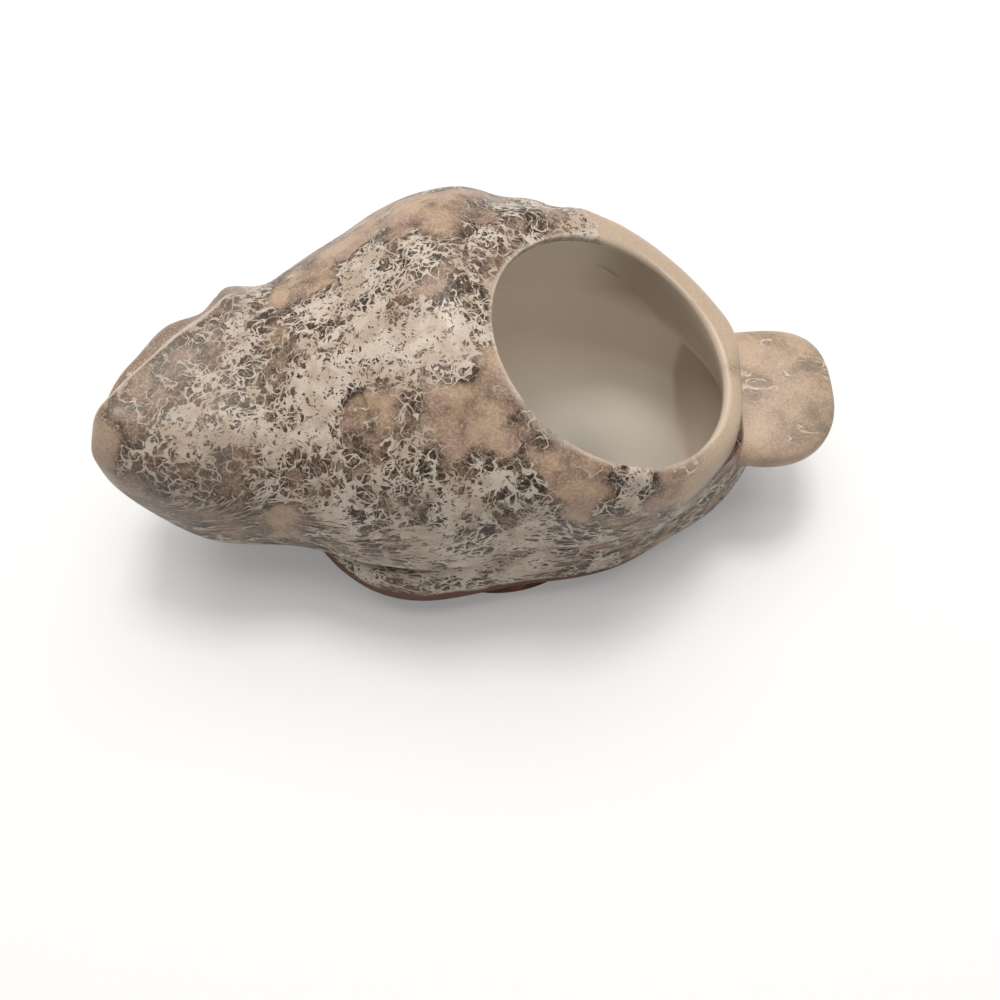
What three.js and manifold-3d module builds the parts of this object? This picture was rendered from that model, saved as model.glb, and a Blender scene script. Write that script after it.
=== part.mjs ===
// Owl planter: a hand-built ceramic owl that crouches on an oval foot with its head turned to
// its right, hollow, with a round planting mouth in its back. Millimetres, +Z up. The origin is
// the middle of the foot on the table. The body lies along X, breast toward -X and tail toward
// +X, so the owl's left side is toward -Y. Nothing on it moves.
import * as THREE from "three";
import { ParametricGeometry } from "three/addons/geometries/ParametricGeometry.js";
import { mergeVertices } from "three/addons/utils/BufferGeometryUtils.js";
import Module from "manifold-3d";

const wasm = await Module();
wasm.setup();

// Clay and joints
const wall = 3.2; // thickness of the hollow shell
const slip = 0.3; // film of slip between two luted pieces

// Reaches along the body, from the middle of the foot
const tipReach = 61.5; // left corner of the head
const neckReach = 33; // joint of head and body
const shoulderReach = 6; // widest place
const rumpReach = 41.5; // back of the mouth wall, toward the tail
const bellyReach = 46.5; // back of the belly, toward the tail

// Face: its line in plan, from the left corner of the head, and the turn of the head
const headTurn = THREE.MathUtils.degToRad(34);
const faceHalf = 17;
const faceBulge = 5.7; // its middle stands this far ahead of its ends
const faceY = -1.5; // its middle, off the middle of the body
const cornerAhead = 0.5; // the left corner stands this far beyond the end of the face
const cornerSide = 1.4; // and this far to the side of it

// Side reaches: the owl's right, toward +Y, then its left
const rightShoulder = 37.5;
const rightNeck = 25;
const leftShoulder = 29.3;
const leftNeck = 24.5;
const leftCheek = 23.9;

// Heights
const crownTop = 40.5;
const backTop = 51;
const tipMid = 32; // of the left corner of the head
const girth = 23; // of the widest line of the body
const rumpMid = 28; // of the back end of the mouth wall
const bellyMid = 12; // of the back end of the belly

// Planting mouth
const mouthX = 19;
const mouthZ = 40;
const mouthRadius = 20.6;
const mouthLeft = 0.9; // the mouth lies this far off the coil's middle, toward the owl's left
const mouthAhead = 0.4; // and this far toward the head
const mouthTilt = THREE.MathUtils.degToRad(23.5);
const rimWidth = 2; // mean width: the coil is widest behind the mouth
const rimDepth = 5.4;

// Wings and belly
const wingEdge = 17.5; // height of the wings' lower edge over the middle of the foot
const wingRise = THREE.MathUtils.degToRad(11); // the edge climbs toward the tail
const wingSeam = 24.8; // half-width at which the wings meet the back
const wingGap = 9; // from the neck joint to the front of the wings
const bellyLeft = 30.2; // widest reach of the belly toward the owl's left
const bellyRight = 34; // and toward its right
const bellyBulge = 9; // height of its widest line

// Foot
const footHalfLength = 23.5;
const footHalfWidth = 26.4;
const footHeight = 3; // clay under the belly
const footLip = 4; // the pad stands this far up the belly
const footEdge = 1; // rounding of its edge

// Tail
const tailWidth = 25;
const tailReach = 57;
const tailThickness = 6.5;
const tailTop = 25;
const tailShift = 1; // toward the owl's right
const tailLeftCorner = 14;
const tailRightCorner = 7;
const tailEdge = 1.6; // rounding of its edge

// Features of the face
const browBack = 1.6; // the brow line sits this far behind the ends of the face
const browSink = 1.3; // its middle under the crown
const browThickness = 4.6;
const browSweep = 1; // its ends stand this far behind its middle
const tuftBack = 0.8; // behind the brow line
const tuftOut = 14.2; // middle of an ear tuft to each side
const tuftSink = 0.6; // its middle under the crown there
const tuftLength = 8;
const tuftThickness = 5.6;
const tuftLift = THREE.MathUtils.degToRad(20);
const eyeOut = 8.7;
const eyeHeight = 27;
const discRadius = 8.4;
const discThickness = 1;
const eyeRadius = 4.7;
const eyeBulge = 2.2;
const beakHeight = 23.4;
const beakLength = 6;
const beakRadius = 3.4;
const beakDroop = THREE.MathUtils.degToRad(54);

// Fineness of the surfaces
const around = 36;
const along = 34;

const smooth = THREE.MathUtils.smoothstep;
const vec = (x, y, z) => new THREE.Vector3(x, y, z);

// Profiles along the body, each a smooth curve through a few heights or half-widths
function profile(points) {
  const curve = new THREE.CatmullRomCurve3(
    points.map(([x, v]) => vec(x, v, 0)), false, "centripetal");
  const samples = curve.getPoints(points.length * 24);
  return (x) => {
    const i = samples.findIndex((p) => p.x >= x);
    if (i <= 0) return i < 0 ? samples[samples.length - 1].y : samples[0].y;
    const [a, b] = [samples[i - 1], samples[i]];
    return THREE.MathUtils.lerp(a.y, b.y, (x - a.x) / Math.max(b.x - a.x, 1e-9));
  };
}
const rimAt = (x) => mouthZ - (x - mouthX) * Math.tan(mouthTilt);
const wingAt = (x) => wingEdge + x * Math.tan(wingRise);
const faceX = -tipReach + cornerAhead + faceHalf * Math.sin(headTurn);
const toBody = (ahead, out) => [faceX - ahead * Math.cos(headTurn) + out * Math.sin(headTurn),
  faceY + ahead * Math.sin(headTurn) + out * Math.cos(headTurn)];
const onFace = (share) => toBody(faceBulge * (1 - share * share), share * faceHalf);

// Points between two others, each by its shares of the way along X and across it
const between = (from, to, shares) => shares.map(
  ([s, t]) => [THREE.MathUtils.lerp(from[0], to[0], s), THREE.MathUtils.lerp(from[1], to[1], t)]);

// Outlines in plan: the head and shoulders, then the mouth wall and the belly behind them
const headLength = tipReach - neckReach;
const wallHalf = mouthRadius + rimWidth; // of the mouth wall
const tip = [-tipReach, onFace(-1)[1] - cornerSide];
const faceEnd = onFace(0.85);
const rightNape = [-neckReach, rightNeck];
const rightWidest = [-shoulderReach, rightShoulder];
const leftJowl = [-tipReach + headLength / 2, -leftCheek];
const leftNape = [-neckReach - headLength / 20, -leftNeck];
const leftWidest = [-shoulderReach, -leftShoulder];
const rightFront = [
  tip, onFace(-0.84), onFace(-0.45), onFace(0), onFace(0.45), faceEnd,
  ...between(faceEnd, rightNape, [[0.58, 0.59], [0.92, 0.94]]),
  ...between(rightNape, rightWidest, [[0.26, 0.42], [0.5, 0.81]]), rightWidest];
const leftFront = [
  tip, ...between(tip, leftJowl, [[0.11, 0.28], [0.45, 0.65]]), leftJowl, leftNape,
  ...between(leftNape, leftWidest, [[0.17, 0.19], [0.35, 0.53], [0.56, 0.79]]), leftWidest];
const mouthSide = (side, full) => [
  [mouthX - 0.575 * wallHalf, side - 0.115 * wallHalf], [mouthX - 0.22 * wallHalf, side / 2 + 0.527 * wallHalf],
  [mouthX + 0.133 * wallHalf, full * wallHalf], [mouthX + 0.442 * wallHalf, 0.99 * wallHalf],
  [mouthX + 0.686 * wallHalf, 0.77 * wallHalf], [rumpReach - 0.106 * wallHalf, 0.442 * wallHalf], [rumpReach, 0]];
const bellySide = (side) => [
  [-tipReach, 0.3 * side], [-1.12 * neckReach, 0.52 * side], [-neckReach, 0.62 * side],
  [-0.8 * neckReach, 0.84 * side], [-0.6 * neckReach, 0.96 * side], [-0.35 * neckReach, side],
  [mouthX - 0.575 * wallHalf, side - 0.133 * wallHalf], [mouthX - 0.22 * wallHalf, side / 2 + 0.473 * wallHalf],
  [mouthX + 0.133 * wallHalf, 1.04 * wallHalf], [mouthX + 0.442 * wallHalf, 0.885 * wallHalf],
  [mouthX + 0.752 * wallHalf, 0.69 * wallHalf], [bellyReach - 0.2 * wallHalf, 0.45 * wallHalf],
  [bellyReach - 0.044 * wallHalf, 0.23 * wallHalf], [bellyReach, 0]];
const mirror = (points) => points.map(([x, y]) => [x, -y]);
const rightSide = profile([...rightFront, ...mouthSide(rightShoulder, 1.16)]);
const leftSide = profile([...leftFront, ...mirror(mouthSide(leftShoulder, 1.1))]);
const rightBelly = profile(bellySide(bellyRight));
const leftBelly = profile(mirror(bellySide(bellyLeft)));

// Heights along the body: the top, the underside, and the level of the widest line
const tuck = bellyMid - footHeight; // the belly rises this far at the tail
const snout = [-tipReach, tipMid];
const crown = [-neckReach, crownTop];
const throat = [-neckReach, footHeight + 0.18 * tuck];
const topHeight = profile([
  snout, ...between(snout, crown, [[0.028, 0.47], [0.14, 0.765], [0.386, 0.93], [0.79, 1.06], [1, 1.21]]),
  ...between(crown, [-shoulderReach, backTop], [[0.416, 0.524], [0.733, 0.905], [1, 1]]),
  ...[0, mouthX, rumpReach - 0.22 * wallHalf, rumpReach - 0.053 * wallHalf].map((x) => [x, rimAt(x)]),
  [rumpReach, rumpMid]]);
const bottomHeight = profile([
  snout, ...between(snout, throat, [
    [0.028, 0.22], [0.123, 0.474], [0.281, 0.693], [0.456, 0.821], [0.667, 0.898], [1, 1]]),
  [-neckReach * 0.66, footHeight + 0.033 * tuck], [-shoulderReach, footHeight], [mouthX, footHeight],
  [mouthX + 0.4 * wallHalf, footHeight + 0.044 * tuck], [mouthX + 0.752 * wallHalf, footHeight + 0.178 * tuck],
  [bellyReach - 0.2 * wallHalf, footHeight + 0.333 * tuck],
  [bellyReach - 0.044 * wallHalf, footHeight + 0.667 * tuck], [bellyReach, bellyMid]]);
const bellyTop = profile([
  [-tipReach, wingAt(-tipReach) + 0.2 * wallHalf], [-neckReach, wingAt(-neckReach) + 0.2 * wallHalf],
  [-shoulderReach, wingAt(-shoulderReach) + 0.5 * wallHalf], [mouthX, wingAt(mouthX) + 0.53 * wallHalf],
  [rumpReach - 0.18 * wallHalf, wingAt(rumpReach) + 0.21 * wallHalf],
  [rumpReach - 0.02 * wallHalf, wingAt(rumpReach)], [rumpReach + 0.08 * wallHalf, tailTop - tailThickness],
  [bellyReach - 0.044 * wallHalf, bellyMid + 0.18 * wallHalf], [bellyReach, bellyMid]]);
const bellyMidHeight = profile([
  [-tipReach, bellyBulge], [-neckReach, bellyBulge], [0, bellyBulge], [mouthX, 1.1 * bellyBulge],
  [bellyReach, bellyMid]]);
const midHeight = profile([
  snout, ...between(snout, [-neckReach, 0.91 * girth], [[0.21, 0.545], [0.49, 0.909], [1, 1]]),
  [0, girth], [mouthX + 0.22 * wallHalf, (girth + rumpMid) / 2], [rumpReach, rumpMid]]);

// Body and head follow one skin: rounded sections strung along X, square-shouldered at the mouth
const power = (v, n) => Math.sign(v) * Math.abs(v) ** (2 / n);
const mouthFront = mouthX - wallHalf;
const cape = {
  end: rumpReach, right: rightSide, left: leftSide, mid: midHeight, top: topHeight,
  low: (x) => bottomHeight(x) + tuck * smooth(x, mouthFront, mouthX + 0.27 * wallHalf),
  square: (x) => 3.4 - 1.2 * smooth(x, faceX, -neckReach)
    + 4.2 * smooth(x, mouthFront, mouthX + 0.18 * wallHalf),
  lowSquare: () => 2.3 };
const bellyShare = (x) => smooth(x, 0, mouthX + 0.35 * wallHalf);
const bowl = {
  end: bellyReach, right: rightBelly, left: leftBelly, mid: bellyMidHeight, top: bellyTop, low: bottomHeight,
  square: (x) => 2.2 + 1.8 * bellyShare(x), lowSquare: (x) => 2.6 + 1.4 * smooth(x, -neckReach, -neckReach / 3) };
function form(shape, inset) {
  const [cut, grow] = [Math.max(inset, 0), Math.max(-inset, 0)];
  const [start, end] = [-tipReach + cut, shape.end - cut];
  const blunt = cut > 0 ? 0.13 : 0.006;
  const surface = (u, v, target) => {
    const row = Math.round(v * along);
    const t = THREE.MathUtils.clamp((row - 1) / (along - 2), 0, 1);
    const turn = Math.PI * THREE.MathUtils.lerp(blunt, 1 - blunt, t);
    const even = (0.5 - 0.5 * Math.cos(turn)) * 0.5 + (turn / Math.PI) * 0.5;
    const x = start + (end - start) * even;
    const pole = row === 0 || row === along ? 0 : 1;
    const angle = u < 1 ? 2 * Math.PI * u : 0;
    const [c, s] = [Math.cos(angle), Math.sin(angle)];
    const mid = shape.mid(x);
    const half = Math.max((shape.right(x) - shape.left(x)) / 2 - inset, slip);
    const rise = Math.max((s > 0 ? shape.top(x) - mid : mid - shape.low(x)) - inset, slip);
    const n = s > 0 ? shape.square(x) : shape.lowSquare(x);
    const centre = (shape.right(x) + shape.left(x)) / 2;
    target.set(x - grow * Math.cos(turn), centre + pole * half * power(c, n), mid + pole * rise * power(s, n));
  };
  return solid(new ParametricGeometry(surface, around, along));
}

// Closed meshes and cuts
function solid(geometry) {
  const bare = geometry.clone();
  bare.deleteAttribute("normal");
  bare.deleteAttribute("uv");
  const welded = mergeVertices(bare, 1e-4);
  const index = welded.index.array;
  const kept = [];
  for (let i = 0; i < index.length; i += 3) {
    const [a, b, c] = [index[i], index[i + 1], index[i + 2]];
    if (a !== b && b !== c && c !== a) kept.push(a, b, c);
  }
  const build = (triVerts) => new wasm.Manifold(new wasm.Mesh({
    numProp: 3, vertProperties: new Float32Array(welded.attributes.position.array),
    triVerts: new Uint32Array(triVerts) }));
  const volume = build(kept);
  if (volume.volume() > 0) return volume;
  return build(kept.reverse());
}
const beyond = 2 * (tipReach + tailReach); // half-size of a block that cuts the whole owl
function below(normal, point) {
  const block = new THREE.BoxGeometry(2 * beyond, 2 * beyond, 2 * beyond).translate(0, 0, -beyond);
  const turn = new THREE.Quaternion().setFromUnitVectors(vec(0, 0, 1), normal);
  return solid(block.applyQuaternion(turn).translate(point.x, point.y, point.z));
}
const ahead = (x) => below(vec(1, 0, 0), vec(x, 0, 0));
const behind = (x) => below(vec(-1, 0, 0), vec(x, 0, 0));
const wingNormal = vec(-Math.sin(wingRise), 0, Math.cos(wingRise));
const wingPoint = (shift) => vec(0, 0, wingEdge + shift / Math.cos(wingRise));
const underWing = (shift) => below(wingNormal, wingPoint(shift));
const overWing = (shift) => below(wingNormal.clone().negate(), wingPoint(shift));
const tilted = (geometry) => solid(geometry.rotateX(Math.PI / 2).rotateY(mouthTilt)
  .translate(mouthX, 0, mouthZ));

// Hollow forms
const cutter = (radius, depth, height) => tilted(new THREE.CylinderGeometry(
  radius, radius, depth + height, 56).translate(0, (height - depth) / 2, 0));
const rimSeat = cutter(wallHalf + slip, rimDepth + slip, mouthRadius);
const outer = form(cape, 0);
const outerGrown = form(cape, -slip);
const shell = outer.subtract(form(cape, wall));
const bodyShell = shell.intersect(behind(-neckReach + slip / 2)).intersect(overWing(slip / 2));
const bellyGrown = form(bowl, -slip).intersect(underWing(0));
const belly = form(bowl, 0).subtract(form(bowl, wall))
  .intersect(behind(-neckReach + slip / 2)).intersect(underWing(-slip / 2)).subtract(rimSeat);

// Mouth: a straight cut through the back, and a seat for the rim coil
const bead = rimWidth * 0.42;
const coilProfile = new THREE.Path();
coilProfile.moveTo(0, -rimDepth);
coilProfile.lineTo(wallHalf, -rimDepth);
coilProfile.absarc(wallHalf - bead, -bead, bead, 0, Math.PI / 2, false);
coilProfile.lineTo(0, 0);
const openProfile = new THREE.Path();
openProfile.moveTo(0, -0.7 * mouthRadius);
openProfile.lineTo(mouthRadius, -0.7 * mouthRadius);
openProfile.absarc(mouthRadius + bead, -bead, bead, Math.PI, Math.PI / 2, true);
openProfile.lineTo(mouthRadius + bead, mouthRadius);
openProfile.lineTo(0, mouthRadius);
const spun = (path, steps) => new THREE.LatheGeometry(path.getPoints(3), steps);
const opening = tilted(spun(openProfile, 56).translate(-mouthAhead, 0, mouthLeft));
const rim = tilted(spun(coilProfile, 56)).subtract(opening);
const wingPart = (side, shift) => below(vec(0, -side, 0), vec(0, side * (wingSeam + shift), 0))
  .intersect(behind(shift - neckReach + wingGap));
const saddle = bodyShell.subtract(wingPart(1, -slip / 2)).subtract(wingPart(-1, -slip / 2))
  .subtract(opening).subtract(rimSeat);
const rightWing = bodyShell.intersect(wingPart(1, slip / 2));
const leftWing = bodyShell.intersect(wingPart(-1, slip / 2));

// Foot: an oval pad that the belly is pressed into
const footOutline = new THREE.Shape().absellipse(
  0, 0, footHalfLength - footEdge, footHalfWidth - footEdge, 0, 2 * Math.PI);
const foot = solid(new THREE.ExtrudeGeometry(footOutline, {
  depth: footHeight + footLip, curveSegments: 24,
  bevelEnabled: true, bevelThickness: footEdge, bevelSize: footEdge, bevelSegments: 2,
}).translate(0, 0, footEdge)).subtract(bellyGrown).subtract(outerGrown.intersect(ahead(-neckReach + slip)))
  .intersect(below(vec(0, 0, 1), vec(0, 0, footHeight + footLip)));

// Tail: a rounded slab luted under the mouth wall
const tailRoot = rumpReach - tailWidth / 10;
const tailHalf = tailWidth / 2 - tailEdge;
const tailEnd = tailReach - tailEdge;
const tailOutline = new THREE.Shape();
tailOutline.moveTo(tailRoot, -tailHalf);
tailOutline.absarc(tailEnd - tailLeftCorner, tailLeftCorner - tailHalf, tailLeftCorner, -Math.PI / 2, 0, false);
tailOutline.absarc(tailEnd - tailRightCorner, tailHalf - tailRightCorner, tailRightCorner, 0, Math.PI / 2, false);
tailOutline.lineTo(tailRoot, tailHalf);
const tail = solid(new THREE.ExtrudeGeometry(tailOutline, {
  depth: tailThickness - 2 * tailEdge, curveSegments: 6,
  bevelEnabled: true, bevelThickness: tailEdge, bevelSize: tailEdge, bevelSegments: 3,
}).translate(0, tailShift, tailTop - tailThickness + tailEdge))
  .subtract(bellyGrown).subtract(outerGrown.intersect(overWing(-slip)));

// Where the skin of the head lies: ahead of the ends of the face, and over a place on the crown
const step = slip / 6;
function inSkin(x, y, z) {
  const [mid, half, centre] = [midHeight(x), (rightSide(x) - leftSide(x)) / 2, (rightSide(x) + leftSide(x)) / 2];
  const [rise, n] = z > mid ? [topHeight(x) - mid, cape.square(x)] : [mid - cape.low(x), cape.lowSquare(x)];
  return x > -tipReach && Math.abs((y - centre) / half) ** n + Math.abs((z - mid) / rise) ** n < 1;
}
function faceAhead(out, height) {
  let ahead = faceHalf;
  while (ahead > -faceHalf && !inSkin(...toBody(ahead, out), height)) ahead -= step;
  return ahead;
}
function crownOver(back, out) {
  let height = backTop;
  while (height > footHeight && !inSkin(...toBody(-back, out), height)) height -= step;
  return height;
}

// Head, with the features of the face set on its middle before they turn with it
const headShell = shell.intersect(ahead(-neckReach - slip / 2));
const posed = (geometry) => solid(geometry.rotateZ(-headTurn).translate(faceX, faceY, 0));
const tuft = (side, grow) => posed(new THREE.SphereGeometry(1, 16, 12)
  .scale(tuftThickness / 2 + grow, tuftLength / 2 + grow, tuftThickness / 2 + grow).rotateX(side * tuftLift)
  .translate(browBack + tuftBack, side * tuftOut, crownOver(browBack + tuftBack, side * tuftOut) - tuftSink));
const browPath = new THREE.CatmullRomCurve3([-1, -0.5, 0, 0.5, 1].map((share) => {
  const back = browBack + browSweep * Math.abs(share);
  return vec(back, share * tuftOut, crownOver(back, share * tuftOut) - browSink);
}));
const browBar = (grow) => posed(new THREE.ExtrudeGeometry(
  new THREE.Shape().absellipse(0, 0, browThickness / 2 + grow, browThickness / 2 + grow, 0, 2 * Math.PI),
  { steps: 12, curveSegments: 6, extrudePath: browPath }));
function onEye(geometry, side) {
  const near = (out, up) => faceAhead(side * (eyeOut + out), eyeHeight + up);
  const reach = eyeRadius / 2;
  const splay = Math.atan((near(-reach, 0) - near(reach, 0)) / (2 * reach));
  const lean = Math.atan((near(0, reach) - near(0, -reach)) / (2 * reach));
  return posed(geometry.rotateY(-lean).rotateZ(-side * splay).translate(-near(0, 0), side * eyeOut, eyeHeight));
}
const disc = (side) => onEye(new THREE.CylinderGeometry(discRadius, discRadius, 2 * discRadius, 32)
  .rotateZ(Math.PI / 2), side).intersect(form(cape, -slip - discThickness));
const eye = (side, grow) => onEye(new THREE.SphereGeometry(1, 16, 12)
  .scale(eyeBulge + grow, eyeRadius + grow, eyeRadius + grow), side);
const beakCone = (grow) => posed(new THREE.ConeGeometry(beakRadius + grow, beakLength + beakRadius + grow, 16)
  .translate(0, (beakLength - beakRadius) / 2, 0).rotateZ(Math.PI / 2).scale(1, 1, 1.25).rotateY(-beakDroop)
  .translate(-faceAhead(0, beakHeight), 0, beakHeight));
const tufts = tuft(-1, slip).add(tuft(1, slip));
const browsGrown = tufts.add(browBar(slip));
const brow = browBar(0).subtract(tufts).subtract(outerGrown);
const leftTuft = tuft(-1, 0).subtract(outerGrown);
const rightTuft = tuft(1, 0).subtract(outerGrown);
const middle = posed(new THREE.BoxGeometry(4 * discRadius, slip, 4 * discRadius)
  .translate(-faceAhead(0, eyeHeight), 0, eyeHeight));
const face = (side) => disc(side).subtract(outerGrown).subtract(browsGrown).subtract(eye(side, slip))
  .subtract(beakCone(slip)).subtract(middle);
const leftEye = eye(-1, 0).subtract(outerGrown);
const rightEye = eye(1, 0).subtract(outerGrown);
const beak = beakCone(0).subtract(outerGrown);

// Finishes
const glaze = { color: 0x9c8675, roughness: 0.5, metalness: 0 };
const pale = { color: 0xc9b299, roughness: 0.55, metalness: 0 };
const umber = { color: 0x5a4638, roughness: 0.6, metalness: 0 };
const red = { color: 0x6f4d3a, roughness: 0.85, metalness: 0 };

const owl = new THREE.Group();
owl.name = "owl_planter";
function place(name, volume, finish) {
  const data = volume.getMesh();
  const geometry = new THREE.BufferGeometry();
  geometry.setAttribute("position", new THREE.BufferAttribute(data.vertProperties, 3));
  geometry.setIndex(new THREE.BufferAttribute(data.triVerts, 1));
  geometry.computeVertexNormals();
  const mesh = new THREE.Mesh(geometry, new THREE.MeshStandardMaterial(finish));
  mesh.name = name;
  owl.add(mesh);
}
place("foot_pad", foot, red);
place("belly_bowl", belly, glaze);
place("back_saddle", saddle, glaze);
place("left_wing", leftWing, glaze);
place("right_wing", rightWing, glaze);
place("mouth_rim", rim, pale);
place("tail_slab", tail, pale);
place("head_shell", headShell, glaze);
place("brow_bar", brow, pale);
place("left_ear_tuft", leftTuft, pale);
place("right_ear_tuft", rightTuft, pale);
place("left_eye_disc", face(-1), pale);
place("right_eye_disc", face(1), pale);
place("left_eye", leftEye, umber);
place("right_eye", rightEye, umber);
place("beak", beak, umber);

export default owl;
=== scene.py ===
"""Owl planter: the looks of a small hand-built ceramic owl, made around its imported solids.

The owl crouches along X with its breast toward -X, its tail toward +X and its head turned to its
right, which is +Y. A round planting mouth opens in its back. Sizes here are in millimetres and
meshes are written in metres, in the frame of the solids. Head and body are one fired skin, so
their pieces are cut from one modelled form, meet without a gap and share one glaze.
"""

import logging
import math
from dataclasses import dataclass, field
from enum import Enum
from functools import reduce
from typing import Callable, Sequence, Union

import bpy
import numpy as np
from mathutils import Matrix, Vector
from mathutils.bvhtree import BVHTree


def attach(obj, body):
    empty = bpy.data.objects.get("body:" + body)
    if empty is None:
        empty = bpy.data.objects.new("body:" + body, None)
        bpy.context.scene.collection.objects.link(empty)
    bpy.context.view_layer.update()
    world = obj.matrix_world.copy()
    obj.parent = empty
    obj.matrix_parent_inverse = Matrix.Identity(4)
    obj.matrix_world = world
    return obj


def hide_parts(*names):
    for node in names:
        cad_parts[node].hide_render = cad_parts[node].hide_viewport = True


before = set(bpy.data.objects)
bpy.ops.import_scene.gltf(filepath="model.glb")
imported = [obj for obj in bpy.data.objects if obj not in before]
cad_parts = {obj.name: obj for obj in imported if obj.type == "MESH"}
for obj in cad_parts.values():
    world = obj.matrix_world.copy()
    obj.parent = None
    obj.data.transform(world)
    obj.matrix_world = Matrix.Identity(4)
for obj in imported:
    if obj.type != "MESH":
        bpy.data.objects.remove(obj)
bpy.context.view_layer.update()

log = logging.getLogger("owl_planter")
MM = 0.001
Array = np.ndarray
Point = tuple[float, float]
Spot = tuple[float, float, float]
Colour = tuple[float, float, float, float]


def smooth(value: Array, low: float, high: float) -> Array:
    """Rises smoothly from 0 at low to 1 at high.

    Args:
        value: The numbers to test.
        low: Where the rise begins.
        high: Where it ends; below low, the rise becomes a fall.

    Returns:
        Numbers from 0 to 1.
    """
    share = np.clip((np.asarray(value, float) - low) / (high - low), 0, 1)
    return share * share * (3 - 2 * share)


def between(start: Point, end: Point, shares: Sequence[Point]) -> list[Point]:
    """Places points between two others.

    Args:
        start: The point that share 0 means.
        end: The point that share 1 means.
        shares: For each new point, its shares of the way along and across.

    Returns:
        The new points.
    """
    return [(start[0] + (end[0] - start[0]) * s, start[1] + (end[1] - start[1]) * t) for s, t in shares]


def spline(points: Sequence[Point], steps: int = 24) -> Callable[[Array], Array]:
    """Draws a smooth curve through a few points, with no overshoot where they crowd.

    Args:
        points: Places along the body and the value at each.
        steps: Samples between two points.

    Returns:
        A function from a place along the body to the curve's value.
    """
    knots = np.array(points, float)
    knots = np.vstack([2 * knots[0] - knots[1], knots, 2 * knots[-1] - knots[-2]])
    share = np.linspace(0, 1, steps, endpoint=False)[:, None]
    runs = []
    for a, b, c, d in zip(knots, knots[1:], knots[2:], knots[3:]):
        first, mid, last = (max(np.linalg.norm(v), 1e-4) ** 0.5 for v in (b - a, c - b, d - c))
        leave = mid * ((b - a) / first - (c - a) / (first + mid) + (c - b) / mid)
        arrive = mid * ((c - b) / mid - (d - b) / (mid + last) + (d - c) / last)
        runs.append(b + leave * share + (3 * (c - b) - 2 * leave - arrive) * share**2
                    + (2 * (b - c) + leave + arrive) * share**3)
    curve = np.vstack(runs + [knots[-2]])
    along = np.maximum.accumulate(curve[:, 0])
    return lambda x: np.interp(x, along, curve[:, 1])


class Form(Enum):
    """The two hollow forms that the owl is built from."""

    CAPE = "cape"
    BOWL = "bowl"


@dataclass
class Section:
    """Outlines of a form where a plane across the body cuts it."""

    right: Array
    left: Array
    mid: Array
    top: Array
    low: Array
    upper_square: Array
    lower_square: Array


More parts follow.
